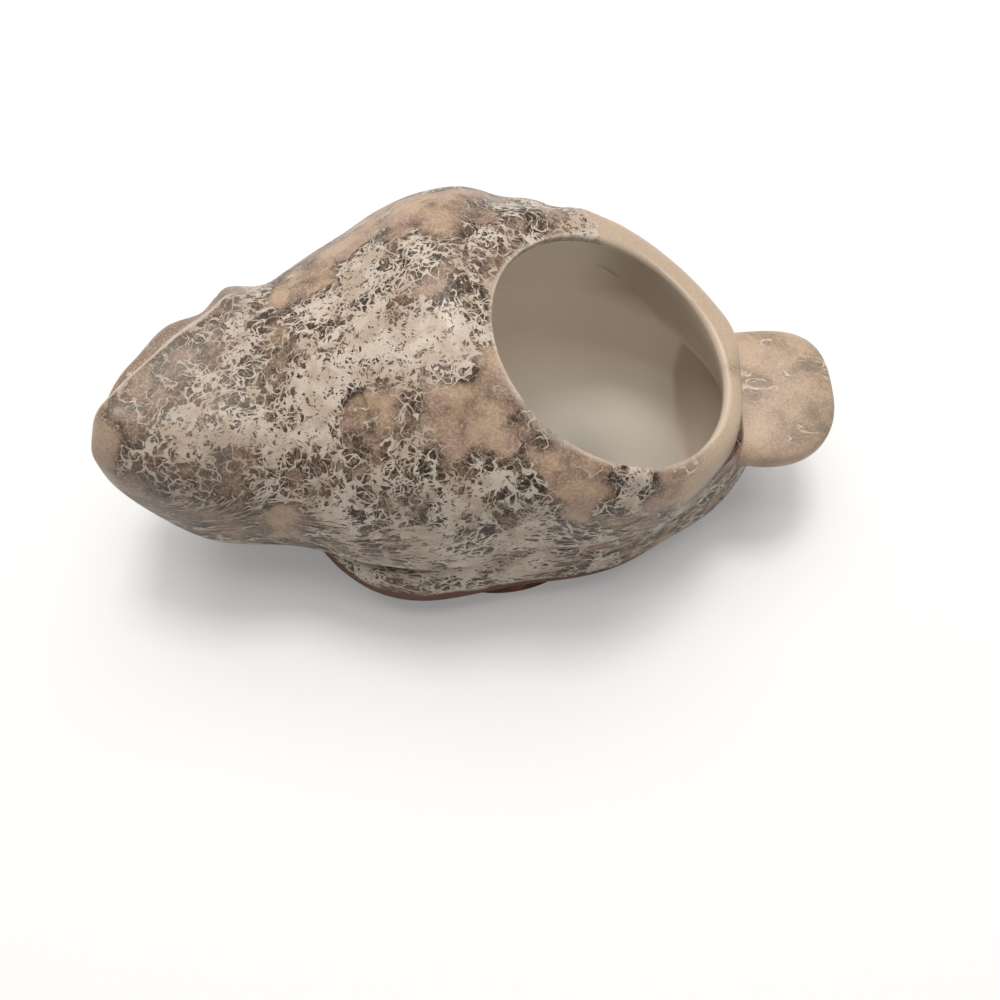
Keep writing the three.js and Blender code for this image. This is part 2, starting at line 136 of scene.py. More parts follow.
@dataclass
class OwlForm:
    """Driving sizes of the skin in millimetres, as the solids have them, and its sections."""

    wall: float = 3.2
    tip_reach: float = 61.5
    neck_reach: float = 33.0
    shoulder_reach: float = 6.0
    rump_reach: float = 41.5
    belly_reach: float = 46.5
    head_turn: float = math.radians(34)
    face_half: float = 17.0
    face_bulge: float = 5.7
    face_y: float = -1.5
    corner_ahead: float = 0.5
    corner_side: float = 1.4
    right_shoulder: float = 37.5
    right_neck: float = 25.0
    left_shoulder: float = 29.3
    left_neck: float = 24.5
    left_cheek: float = 23.9
    crown_top: float = 40.5
    back_top: float = 51.0
    tip_mid: float = 32.0
    girth: float = 23.0
    rump_mid: float = 28.0
    belly_mid: float = 12.0
    mouth_x: float = 19.0
    mouth_z: float = 40.0
    mouth_radius: float = 20.6
    mouth_left: float = 0.9
    mouth_ahead: float = 0.4
    mouth_tilt: float = math.radians(23.5)
    rim_width: float = 2.0
    rim_depth: float = 5.4
    wing_edge: float = 17.5
    wing_rise: float = math.radians(11)
    wing_seam: float = 24.8
    wing_gap: float = 9.0
    belly_left: float = 30.2
    belly_right: float = 34.0
    belly_bulge: float = 9.0
    foot_height: float = 3.0
    foot_lip: float = 4.0
    tail_top: float = 25.0
    tail_thickness: float = 6.5
    curves: dict[str, Callable[[Array], Array]] = field(init=False, repr=False)

    def __post_init__(self) -> None:
        """Draws the outlines and heights that the sections are read from."""
        self.face_x = -self.tip_reach + self.corner_ahead + self.face_half * math.sin(self.head_turn)
        self.wall_half = self.mouth_radius + self.rim_width
        self.axis = np.array([math.sin(self.mouth_tilt), 0, math.cos(self.mouth_tilt)])
        self.downhill = np.array([self.axis[2], 0, -self.axis[0]])
        self.mouth = np.array([self.mouth_x, 0, self.mouth_z])
        self.opening = self.mouth - self.mouth_ahead * self.downhill - np.array([0, self.mouth_left, 0])
        right, left = self._fronts()
        wall, belly = self._backs()
        mirror = lambda points: [(x, -y) for x, y in points]
        self.curves = {
            "cape_right": spline(right + wall(self.right_shoulder, 1.16)),
            "cape_left": spline(left + mirror(wall(self.left_shoulder, 1.1))),
            "bowl_right": spline(belly(self.belly_right)),
            "bowl_left": spline(mirror(belly(self.belly_left))),
        }
        self._heights()

    def on_face(self, share: float) -> Point:
        """Gives a point of the face's line in plan, from -1 at the owl's left end to 1."""
        ahead = self.face_bulge * (1 - share * share)
        return tuple(self.to_body(np.array([ahead, share * self.face_half, 0]))[:2])

    def to_body(self, local: Array) -> Array:
        """Turns points given as ahead of the face, out to its right and height into body places.

        Args:
            local: Points whose last axis is ahead, out and height.

        Returns:
            The same points as x, y and z.
        """
        sine, cosine = math.sin(self.head_turn), math.cos(self.head_turn)
        ahead, out, height = np.moveaxis(np.asarray(local, float), -1, 0)
        return np.stack([self.face_x - ahead * cosine + out * sine,
                         self.face_y + ahead * sine + out * cosine, height], -1)

    def to_face(self, points: Array) -> Array:
        """Turns body places into ahead of the face, out to its right and height.

        Args:
            points: Points whose last axis is x, y and z.

        Returns:
            The same points as ahead, out and height.
        """
        sine, cosine = math.sin(self.head_turn), math.cos(self.head_turn)
        x, y, z = np.moveaxis(np.asarray(points, float), -1, 0)
        x, y = x - self.face_x, y - self.face_y
        return np.stack([y * sine - x * cosine, x * sine + y * cosine, z], -1)

    def _fronts(self) -> tuple[list[Point], list[Point]]:
        """Draws the outlines in plan from the head to the shoulders.

        Returns:
            The points of the owl's right outline and of its left one.
        """
        head = self.tip_reach - self.neck_reach
        tip = (-self.tip_reach, self.on_face(-1)[1] - self.corner_side)
        face_end = self.on_face(0.85)
        nape = (-self.neck_reach, self.right_neck)
        widest = (-self.shoulder_reach, self.right_shoulder)
        right = [tip, *(self.on_face(s) for s in (-0.84, -0.45, 0, 0.45)), face_end,
                 *between(face_end, nape, [(0.58, 0.59), (0.92, 0.94)]),
                 *between(nape, widest, [(0.26, 0.42), (0.5, 0.81)]), widest]
        jowl = (-self.tip_reach + head / 2, -self.left_cheek)
        nape = (-self.neck_reach - head / 20, -self.left_neck)
        widest = (-self.shoulder_reach, -self.left_shoulder)
        left = [tip, *between(tip, jowl, [(0.11, 0.28), (0.45, 0.65)]), jowl, nape,
                *between(nape, widest, [(0.17, 0.19), (0.35, 0.53), (0.56, 0.79)]), widest]
        return right, left

    def _backs(self) -> tuple[Callable[[float, float], list[Point]], Callable[[float], list[Point]]]:
        """Draws the outlines of the mouth wall behind the shoulders and of the whole belly.

        Returns:
            A function from a shoulder's width and the wall's fullness to the wall's points, and one
            from the belly's width to its points.
        """
        r, x, neck = self.wall_half, self.mouth_x, self.neck_reach
        wall = lambda side, full: [
            (x - 0.575 * r, side - 0.115 * r), (x - 0.22 * r, side / 2 + 0.527 * r),
            (x + 0.133 * r, full * r), (x + 0.442 * r, 0.99 * r), (x + 0.686 * r, 0.77 * r),
            (self.rump_reach - 0.106 * r, 0.442 * r), (self.rump_reach, 0)]
        belly = lambda side: [
            (-self.tip_reach, 0.3 * side), (-1.12 * neck, 0.52 * side), (-neck, 0.62 * side),
            (-0.8 * neck, 0.84 * side), (-0.6 * neck, 0.96 * side), (-0.35 * neck, side),
            (x - 0.575 * r, side - 0.133 * r), (x - 0.22 * r, side / 2 + 0.473 * r),
            (x + 0.133 * r, 1.04 * r), (x + 0.442 * r, 0.885 * r), (x + 0.752 * r, 0.69 * r),
            (self.belly_reach - 0.2 * r, 0.45 * r), (self.belly_reach - 0.044 * r, 0.23 * r),
            (self.belly_reach, 0)]
        return wall, belly

    def _heights(self) -> None:
        """Draws the heights along the body: the tops, the underside and the widest lines."""
        r, x, rump, belly = self.wall_half, self.mouth_x, self.rump_reach, self.belly_reach
        rim = lambda at: self.mouth_z - (at - x) * math.tan(self.mouth_tilt)
        wing = lambda at: self.wing_edge + at * math.tan(self.wing_rise)
        tuck = self.belly_mid - self.foot_height
        snout = (-self.tip_reach, self.tip_mid)
        crown = (-self.neck_reach, self.crown_top)
        throat = (-self.neck_reach, self.foot_height + 0.18 * tuck)
        chest = (-self.neck_reach, 0.91 * self.girth)
        self.tuck = tuck
        self.curves["cape_top"] = spline([
            snout, *between(snout, crown, [
                (0.028, 0.47), (0.14, 0.765), (0.386, 0.93), (0.79, 1.06), (1, 1.21)]),
            *between(crown, (-self.shoulder_reach, self.back_top), [(0.416, 0.524), (0.733, 0.905), (1, 1)]),
            *((at, rim(at)) for at in (0, x, rump - 0.22 * r, rump - 0.053 * r)), (rump, self.rump_mid)])
        self.curves["low"] = spline([
            snout, *between(snout, throat, [
                (0.028, 0.22), (0.123, 0.474), (0.281, 0.693), (0.456, 0.821), (0.667, 0.898), (1, 1)]),
            *((at, self.foot_height + share * tuck) for at, share in (
                (-0.66 * self.neck_reach, 0.033), (-self.shoulder_reach, 0), (x, 0), (x + 0.4 * r, 0.044),
                (x + 0.752 * r, 0.178), (belly - 0.2 * r, 0.333), (belly - 0.044 * r, 0.667), (belly, 1)))])
        self.curves["bowl_top"] = spline([
            (-self.tip_reach, wing(-self.tip_reach) + 0.2 * r),
            (-self.neck_reach, wing(-self.neck_reach) + 0.2 * r),
            (-self.shoulder_reach, wing(-self.shoulder_reach) + 0.5 * r), (x, wing(x) + 0.53 * r),
            (rump - 0.18 * r, wing(rump) + 0.21 * r), (rump - 0.02 * r, wing(rump)),
            (rump + 0.08 * r, self.tail_top - self.tail_thickness),
            (belly - 0.044 * r, self.belly_mid + 0.18 * r), (belly, self.belly_mid)])
        self.curves["bowl_mid"] = spline([
            (-self.tip_reach, self.belly_bulge), (-self.neck_reach, self.belly_bulge), (0, self.belly_bulge),
            (x, 1.1 * self.belly_bulge), (belly, self.belly_mid)])
        self.curves["cape_mid"] = spline([
            snout, *between(snout, chest, [(0.21, 0.545), (0.49, 0.909), (1, 1)]), (0, self.girth),
            (x + 0.22 * r, (self.girth + self.rump_mid) / 2), (rump, self.rump_mid)])

    def section(self, form: Form, x: Array) -> Section:
        """Reads the outlines of a form at places along the body.

        Args:
            form: Which form.
            x: The places, in millimetres.

        Returns:
            The outlines there.
        """
        curve = lambda name: self.curves[name](x)
        r, mouth = self.wall_half, self.mouth_x
        if form is Form.CAPE:
            low = curve("low") + self.tuck * smooth(x, mouth - r, mouth + 0.27 * r)
            upper = (3.4 - 1.2 * smooth(x, self.face_x, -self.neck_reach)
                     + 4.2 * smooth(x, mouth - r, mouth + 0.18 * r))
            lower = np.full_like(upper, 2.3)
        else:
            low = curve("low")
            share = smooth(x, 0, mouth + 0.35 * r)
            upper = 2.2 + 1.8 * share
            lower = 2.6 + 1.4 * smooth(x, -self.neck_reach, -self.neck_reach / 3)
        name = form.value
        return Section(curve(name + "_right"), curve(name + "_left"), curve(name + "_mid"),
                       curve(name + "_top"), low, upper, lower)

    def place(self, form: Form, turn: Array, angle: Array, inset: float) -> Array:
        """Lays the points of a unit sphere, whose axis becomes the body's, on a form.

        Args:
            form: Which form.
            turn: Each point's angle from the pole that becomes the breast end.
            angle: Each point's angle around the body, from the owl's right.
            inset: How far inside the skin to lay them.

        Returns:
            The points in millimetres.
        """
        least = 0.3
        front = 0.13 if inset > 0 else 0.004
        back = front if form is Form.CAPE else min(front, 0.03)
        reach = self.rump_reach if form is Form.CAPE else self.belly_reach
        share = front + (1 - front - back) * turn / math.pi
        even = 0.25 * (1 - np.cos(math.pi * share)) + 0.5 * share
        x = -self.tip_reach + inset + (reach + self.tip_reach - 2 * inset) * even
        cut = self.section(form, x)
        cosine, sine = np.cos(angle), np.sin(angle)
        square = np.where(sine > 0, cut.upper_square, cut.lower_square)
        spread = (np.abs(cosine)**square + np.abs(sine)**square) ** (-1 / square) * (np.sin(turn) > 1e-4)
        half = np.maximum((cut.right - cut.left) / 2 - inset, least)
        rise = np.maximum(np.where(sine > 0, cut.top - cut.mid, cut.mid - cut.low) - inset, least)
        y = (cut.right + cut.left) / 2 + half * spread * cosine
        return np.stack([x, y, cut.mid + rise * spread * sine], -1)

    def depth(self, points: Array) -> Array:
        """Tells how far inside the cape's skin points lie.

        Args:
            points: The points, in millimetres.

        Returns:
            A number for each: under 1 is inside, over 1 outside.
        """
        x, y, z = np.moveaxis(points, -1, 0)
        cut = self.section(Form.CAPE, x)
        up = z > cut.mid
        square = np.where(up, cut.upper_square, cut.lower_square)
        half = np.maximum((cut.right - cut.left) / 2, 1e-3)
        rise = np.maximum(np.where(up, cut.top - cut.mid, cut.mid - cut.low), 1e-3)
        across = np.abs((y - (cut.right + cut.left) / 2) / half) ** square
        value = across + np.abs((z - cut.mid) / rise) ** square
        beyond = 9.0
        return np.where(x > -self.tip_reach, value, beyond)

    def face_ahead(self, out: float, height: float) -> float:
        """Finds how far ahead of its ends the face stands.

        Args:
            out: How far to the right of the face's middle to look, in millimetres.
            height: How high to look.

        Returns:
            How far ahead the skin is there, in millimetres.
        """
        ahead = np.arange(self.face_half, -self.face_half, -0.05)
        local = np.stack([ahead, np.full_like(ahead, out), np.full_like(ahead, height)], -1)
        return float(ahead[np.argmax(self.depth(self.to_body(local)) < 1)])

    def over_mouth(self, points: Array) -> tuple[Array, Array]:
        """Measures points against the mouth.

        Args:
            points: The points, in millimetres.

        Returns:
            Their heights over its plane and their distances from its axis.
        """
        offset = points - self.mouth
        height = offset @ self.axis
        return height, np.linalg.norm(offset - height[..., None] * self.axis, axis=-1)


@dataclass
class Relief:
    """What the maker's fingers raised on the skin: brow, ear tufts, eye discs and a slight waver."""

    crest_ahead: float = -0.6
    crest_slope: float = -0.096
    crest_height: float = 1.5
    crest_groove: float = 1.1
    tufts: tuple[Point, ...] = ((-1.0, -15.4), (-1.0, 14.4))
    tuft_height: float = 1.8
    tuft_spread: float = 2.5
    eye_out: float = 8.7
    eye_height: float = 27.0
    disc_radius: float = 8.4
    disc_lip: float = 0.75
    disc_dish: float = 0.3
    feathers: int = 26
    feather_depth: float = 0.14
    waver: float = 0.2
    rim_round: float = 0.7
    rim_spread: float = 1.5
    brow_spread: float = 1.9
    far_ease: float = 2.4
    ear: Spot = (-43.6, 14.4, 33.0)
    ear_height: float = 3.8
    ear_spread: float = 2.5

    def raised(self, form: OwlForm, points: Array, normals: Array) -> Array:
        """Raises the skin.

        Args:
            form: The owl's sizes.
            points: Points of the plain skin, in millimetres.
            normals: The skin's normals there.

        Returns:
            The points after the relief.
        """
        ahead, out, height = np.moveaxis(form.to_face(points), -1, 0)
        lift = self._crest(ahead, out) * smooth(height, 32, 36)
        for tuft_ahead, tuft_out in self.tufts:
            lift = lift + self._tuft(ahead - tuft_ahead, out - tuft_out) * smooth(height, 27, 34)
        moved = points + lift[:, None] * np.array([0, 0, 1])
        forward = form.to_body(np.array([1.0, 0, 0])) - form.to_body(np.zeros(3))
        facing = smooth(normals @ forward, 0.15, 0.5)
        for side in (-1, 1):
            moved = moved + (self._disc(out - side * self.eye_out, height) * facing)[:, None] * normals
        brow = (smooth(ahead, -2.5, 1.5) * smooth(height, 29, 33.5)
                * smooth(out, -3, 6) * (1 - smooth(out, 17, 22)))
        moved = moved + (self.brow_spread * brow)[:, None] * forward
        from_ear = ((points - np.array(self.ear)) ** 2).sum(1)
        ear = self.ear_height * np.exp(-from_ear / (2 * self.ear_spread**2))
        moved = moved + ear[:, None] * normals
        x, y, z = np.moveaxis(points, -1, 0)
        wave = np.sin(0.21 * x + 1) * np.sin(0.17 * y + 2.1) + 0.6 * np.sin(0.33 * y + 0.27 * z + 0.1 * x)
        moved = moved + (self.waver * wave)[:, None] * normals
        return self._level(form, moved)

    def _crest(self, ahead: Array, out: Array) -> Array:
        """Gives the height of the brow crest: a long slope behind it and a groove ahead of it.

        Args:
            ahead: How far ahead of the face's ends each point lies, in millimetres.
            out: How far to the right of the face's middle it lies.

        Returns:
            How far each point rises, in millimetres.
        """
        back = self.crest_ahead + self.crest_slope * out - ahead
        slope = self.crest_height * np.exp(-(back / 5.5) ** 2)
        drop = ((self.crest_height + self.crest_groove) * np.exp(-(back / 0.8) ** 2)
                - self.crest_groove * np.exp(-(back / 3.2) ** 2))
        return np.where(back > 0, slope, drop) * (1 - smooth(np.abs(out), 12, 17))

    def _tuft(self, ahead: Array, out: Array) -> Array:
        """Gives the height of an ear tuft around its middle."""
        return self.tuft_height * np.exp(-(ahead**2 + out**2) / (2 * self.tuft_spread**2))

    def _disc(self, out: Array, height: Array) -> Array:
        """Gives the relief of an eye disc: a raised edge and feather strokes that point at the eye.

        Args:
            out: How far to the right of the eye each point lies, in millimetres.
            height: How high it lies.

        Returns:
            How far each point stands out, in millimetres.
        """
        up = height - self.eye_height
        radius, angle = np.hypot(out, up), np.arctan2(up, out)
        edge = self.disc_lip * np.exp(-((radius - self.disc_radius + 0.9) / 0.8) ** 2)
        dish = -self.disc_dish * (1 - smooth(radius, 4, self.disc_radius - 1))
        strokes = smooth(radius, 4.6, 5.6) * (1 - smooth(radius, self.disc_radius - 1.2, self.disc_radius))
        strokes = strokes * (1 - smooth(height, 29, 32))
        feathers = self.feather_depth * np.cos(self.feathers * angle) * strokes
        return edge * (1 - smooth(height, 31, 35)) + dish + feathers

    def _level(self, form: OwlForm, points: Array) -> Array:
        """Brings the skin ahead of the mouth level with its rim, and rounds it off behind the mouth.

        Args:
            form: The owl's sizes.
            points: Points of the skin, in millimetres.

        Returns:
            The points after that.
        """
        height, radius = form.over_mouth(points)
        near = 1 - smooth(radius, form.wall_half + 0.5, form.wall_half + 8)
        front = 1 - smooth(points[:, 0], form.mouth_x, form.mouth_x + 10)
        level = height * near * front * smooth(height, -2.8, -1.2)
        behind = smooth(((points - form.mouth) @ form.downhill) / np.maximum(radius, 1), -0.6, 0.5)
        over = np.clip((radius - form.wall_half + 1.5) / 3.4, 0, 1)
        drop = self.rim_round * over**2 * behind * smooth(height, -5, -1.5)
        upper = smooth(height, -14, -6)
        ease = smooth(points[:, 1], 21, 28) * (1 - smooth(np.abs(points[:, 0] - 6), 4, 9)) * upper
        away = points - form.mouth - height[:, None] * form.axis
        turn = np.degrees(np.arctan2(away[:, 1], away @ form.downhill))
        far = smooth(turn, 5, 30) * (1 - smooth(turn, 65, 95)) * upper * smooth(radius, 15, 19)
        spread = away * (self.rim_spread * far / np.maximum(radius, 1))[:, None]
        return points + spread - (level + drop + self.far_ease * ease)[:, None] * form.axis


def deselect() -> None:
    """Leaves edit mode and selects nothing."""
    if bpy.context.object and bpy.context.object.mode != "OBJECT":
        bpy.ops.object.mode_set(mode="OBJECT")
    bpy.ops.object.select_all(action="DESELECT")


def pick(piece: bpy.types.Object) -> None:
    """Makes one object the selected and active one.

    Args:
        piece: The object.
    """
    deselect()
    piece.select_set(True)
    bpy.context.view_layer.objects.active = piece


def named(name: str) -> bpy.types.Object:
    """Names the object that was just added and sets its place in its mesh.

    Args:
        name: The new name.

    Returns:
        The object.
    """
    piece = bpy.context.object
    piece.name = piece.data.name = name
    bpy.ops.object.transform_apply(location=True, rotation=True, scale=True)
    return piece


def corners(piece: bpy.types.Object) -> Array:
    """Reads a mesh's points.

    Args:
        piece: The object that holds the mesh.

    Returns:
        The points in millimetres, one in each row.
    """
    flat = np.empty(len(piece.data.vertices) * 3, np.float32)
    piece.data.vertices.foreach_get("co", flat)
    return flat.reshape(-1, 3).astype(float) / MM


def move_corners(piece: bpy.types.Object, points: Array) -> None:
    """Writes a mesh's points, given in millimetres."""
    piece.data.vertices.foreach_set("co", (points * MM).astype(np.float32).ravel())
    piece.data.update()


def tidy_normals(piece: bpy.types.Object) -> None:
    """Merges doubled points and turns the faces of a closed mesh outwards.

    Args:
        piece: The object that holds the mesh.
    """
    pick(piece)
    bpy.ops.object.mode_set(mode="EDIT")
    bpy.ops.mesh.select_all(action="SELECT")
    bpy.ops.mesh.remove_doubles(threshold=1e-7)
    bpy.ops.mesh.normals_make_consistent(inside=False)
    bpy.ops.object.mode_set(mode="OBJECT")


def copy_of(piece: bpy.types.Object, name: str) -> bpy.types.Object:
    """Copies an object with its own mesh.

    Args:
        piece: The object.
        name: The copy's name.

    Returns:
        The copy.
    """
    pick(piece)
    bpy.ops.object.duplicate()
    twin = bpy.context.object
    twin.name = twin.data.name = name
    return twin


def cut(piece: bpy.types.Object, tool: bpy.types.Object, operation: str = "DIFFERENCE") -> None:
    """Cuts a closed mesh by another, or keeps what they share.

    Args:
        piece: The mesh that changes.
        tool: The mesh that cuts it.
        operation: DIFFERENCE, INTERSECT or UNION.
    """
    pick(piece)
    change = piece.modifiers.new("cut", "BOOLEAN")
    change.operation = operation
    change.solver = "MANIFOLD"
    change.object = tool
    bpy.ops.object.modifier_apply(modifier=change.name)


def trim(piece: bpy.types.Object, point: Sequence[float], normal: Sequence[float]) -> None:
    """Cuts a closed mesh at a plane and closes the cut.

    Args:
        piece: The mesh that changes.
        point: A point of the plane, in millimetres.
        normal: The side of the plane that is cut away.
    """
    size = 400.0
    away = Vector(normal).normalized()
    deselect()
    bpy.ops.mesh.primitive_cube_add(size=size * MM, location=(Vector(point) + away * size / 2) * MM,
                                    rotation=away.to_track_quat("Z", "Y").to_euler())
    block = named("trim_cutter")
    cut(piece, block)
    scrap(block)


def scrap(*tools: bpy.types.Object) -> None:
    """Takes away objects that only served to cut others."""
    for tool in tools:
        bpy.data.objects.remove(tool)


def round_off(piece: bpy.types.Object, degrees: float = 40) -> None:
    """Shades a mesh smooth except across its sharp edges."""
    pick(piece)
    bpy.ops.object.shade_smooth_by_angle(angle=math.radians(degrees))


Number = Union[float, "Field"]


class Field:
    """A number that varies over a surface. Arithmetic on it adds Math nodes."""

    def __init__(self, book: "FinishBook", socket: bpy.types.NodeSocket) -> None:
        """Wraps an output socket of a finish's tree."""
        self.book = book
        self.socket = socket

    def _maths(self, operation: str, left: Number, right: Number) -> "Field":
        """Adds one Math node."""
        return self.book.value("ShaderNodeMath", {"operation": operation}, {0: left, 1: right})

    def __add__(self, other: Number) -> "Field":
        """Adds a number or field."""
        return self._maths("ADD", self, other)

    __radd__ = __add__

    def __sub__(self, other: Number) -> "Field":
        """Takes a number or field away."""
        return self._maths("SUBTRACT", self, other)

    def __rsub__(self, other: Number) -> "Field":
        """Takes this field away from a number."""
        return self._maths("SUBTRACT", other, self)

    def __mul__(self, other: Number) -> "Field":
        """Multiplies by a number or field."""
        return self._maths("MULTIPLY", self, other)

    __rmul__ = __mul__

    def __abs__(self) -> "Field":
        """Drops the sign."""
        return self._maths("ABSOLUTE", self, 0.0)

    def root(self) -> "Field":
        """Takes the square root."""
        return self._maths("SQRT", self, 0.0)

    def least(self, other: Number) -> "Field":
        """Takes the lower of two."""
        return self._maths("MINIMUM", self, other)

    def most(self, other: Number) -> "Field":
        """Takes the higher of two."""
        return self._maths("MAXIMUM", self, other)

    def step(self, low: float, high: float) -> "Field":
        """Rises smoothly from 0 to 1.

        Args:
            low: Where the rise begins.
            high: Where it ends; below low, the rise becomes a fall.

        Returns:
            A field from 0 to 1.
        """
        if high < low:
            return 1.0 - self.step(high, low)
        return self.book.value("ShaderNodeMapRange", {"interpolation_type": "SMOOTHSTEP"},
                               {"Value": self, "From Min": low, "From Max": high})


class FinishBook:
    """The node tree of one finish, written a node at a time."""

    def __init__(self, name: str) -> None:
        """Starts an empty material.

        Args:
            name: Its name.
        """
        self.material = bpy.data.materials.new(name)
        self.material.use_nodes = True
        self.tree = self.material.node_tree
        self.tree.nodes.clear()

    def add(self, kind: str, settings: dict | None = None, sockets: dict | None = None) -> bpy.types.Node:
        """Adds a node.

        Args:
            kind: The node's type.
            settings: Properties, which are set before the sockets.
            sockets: For each input, by name or number, a value, a field or a socket to link.

        Returns:
            The node.
        """
        node = self.tree.nodes.new(kind)
        for key, value in (settings or {}).items():
            setattr(node, key, value)
        for key, value in (sockets or {}).items():
            if isinstance(value, Field):
                value = value.socket
            if isinstance(value, bpy.types.NodeSocket):
                self.tree.links.new(value, node.inputs[key])
            else:
                node.inputs[key].default_value = value
        return node

    def value(self, kind: str, settings: dict, sockets: dict, output: int | str = 0) -> Field:
        """Adds a node and wraps one of its outputs."""
        return Field(self, self.add(kind, settings, sockets).outputs[output])

    def place(self) -> bpy.types.NodeSocket:
        """Gives the place on the object, in millimetres."""
        where = self.add("ShaderNodeTexCoord").outputs["Object"]
        return self.vector("SCALE", {0: where, "Scale": 1 / MM})

    def vector(self, operation: str, sockets: dict, output: int | str = 0) -> bpy.types.NodeSocket:
        """Adds one Vector Math node."""
        return self.add("ShaderNodeVectorMath", {"operation": operation}, sockets).outputs[output]

    def noise(self, at: bpy.types.NodeSocket, size: float, detail: float = 2.0) -> Field:
        """Gives cloudy noise whose blots are about size millimetres apart."""
        return self.value("ShaderNodeTexNoise", {}, {
            "Vector": at, "Scale": 1 / size, "Detail": detail, "Roughness": 0.55})

    def stray(self, at: bpy.types.NodeSocket, size: float, reach: float) -> bpy.types.NodeSocket:
        """Moves places about by noise.

        Args:
            at: The places.
            size: How far apart the noise's blots are, in millimetres.
            reach: How far a place may move, in millimetres.

        Returns:
            The moved places.
        """
        cloud = self.add("ShaderNodeTexNoise", {}, {"Vector": at, "Scale": 1 / size, "Detail": 2.0})
        centred = self.vector("SUBTRACT", {0: cloud.outputs["Color"], 1: (0.5, 0.5, 0.5)})
        shift = self.vector("SCALE", {0: centred, "Scale": 2 * reach})
        return self.vector("ADD", {0: at, 1: shift})

    def web(self, at: bpy.types.NodeSocket, size: float) -> Field:
        """Gives the distance to the strands of a web whose cells are about size millimetres."""
        return self.value("ShaderNodeTexVoronoi", {"feature": "DISTANCE_TO_EDGE"}, {
            "Vector": at, "Scale": 1 / size}, "Distance")

    def near(self, at: bpy.types.NodeSocket, spot: Spot, reach: float) -> Field:
        """Gives 1 at a spot, falling to 0 at its reach, in millimetres."""
        away = Field(self, self.vector("DISTANCE", {0: at, 1: spot}, "Value"))
        return away.step(reach, 0.15 * reach)

    def blend(self, share: Number, first: object, second: object) -> bpy.types.NodeSocket:
        """Mixes two colours."""
        node = self.add("ShaderNodeMix", {"data_type": "RGBA"}, {0: share, 6: first, 7: second})
        return node.outputs[2]

    def finish(self, base: object, rough: Number, height: Field, depth: float, specular: float,
               extra: dict | None = None) -> None:
        """Ends the tree with a principled surface.

        Args:
            base: The base colour.
            rough: The roughness.
            height: The fine relief, from 0 to 1.
            depth: The relief's depth in millimetres.
            specular: The specular level.
            extra: Further inputs of the surface, such as a clear coat or a glow.
        """
        bump = self.add("ShaderNodeBump", {}, {"Strength": 0.8, "Distance": depth * MM, "Height": height})
        surface = self.add("ShaderNodeBsdfPrincipled", {}, {
            "Base Color": base, "Roughness": rough, "Normal": bump.outputs[0],
            "Specular IOR Level": specular, **(extra or {})})
        self.add("ShaderNodeOutputMaterial", {}, {"Surface": surface.outputs[0]})


def paint(red: int, green: int, blue: int) -> Colour:
    """Turns a colour as a screen shows it, 0 to 255, into the linear one that a shader takes."""
    linear = [((c / 255 + 0.055) / 1.055) ** 2.4 if c > 10 else c / 255 / 12.92 for c in (red, green, blue)]
    return (*linear, 1.0)


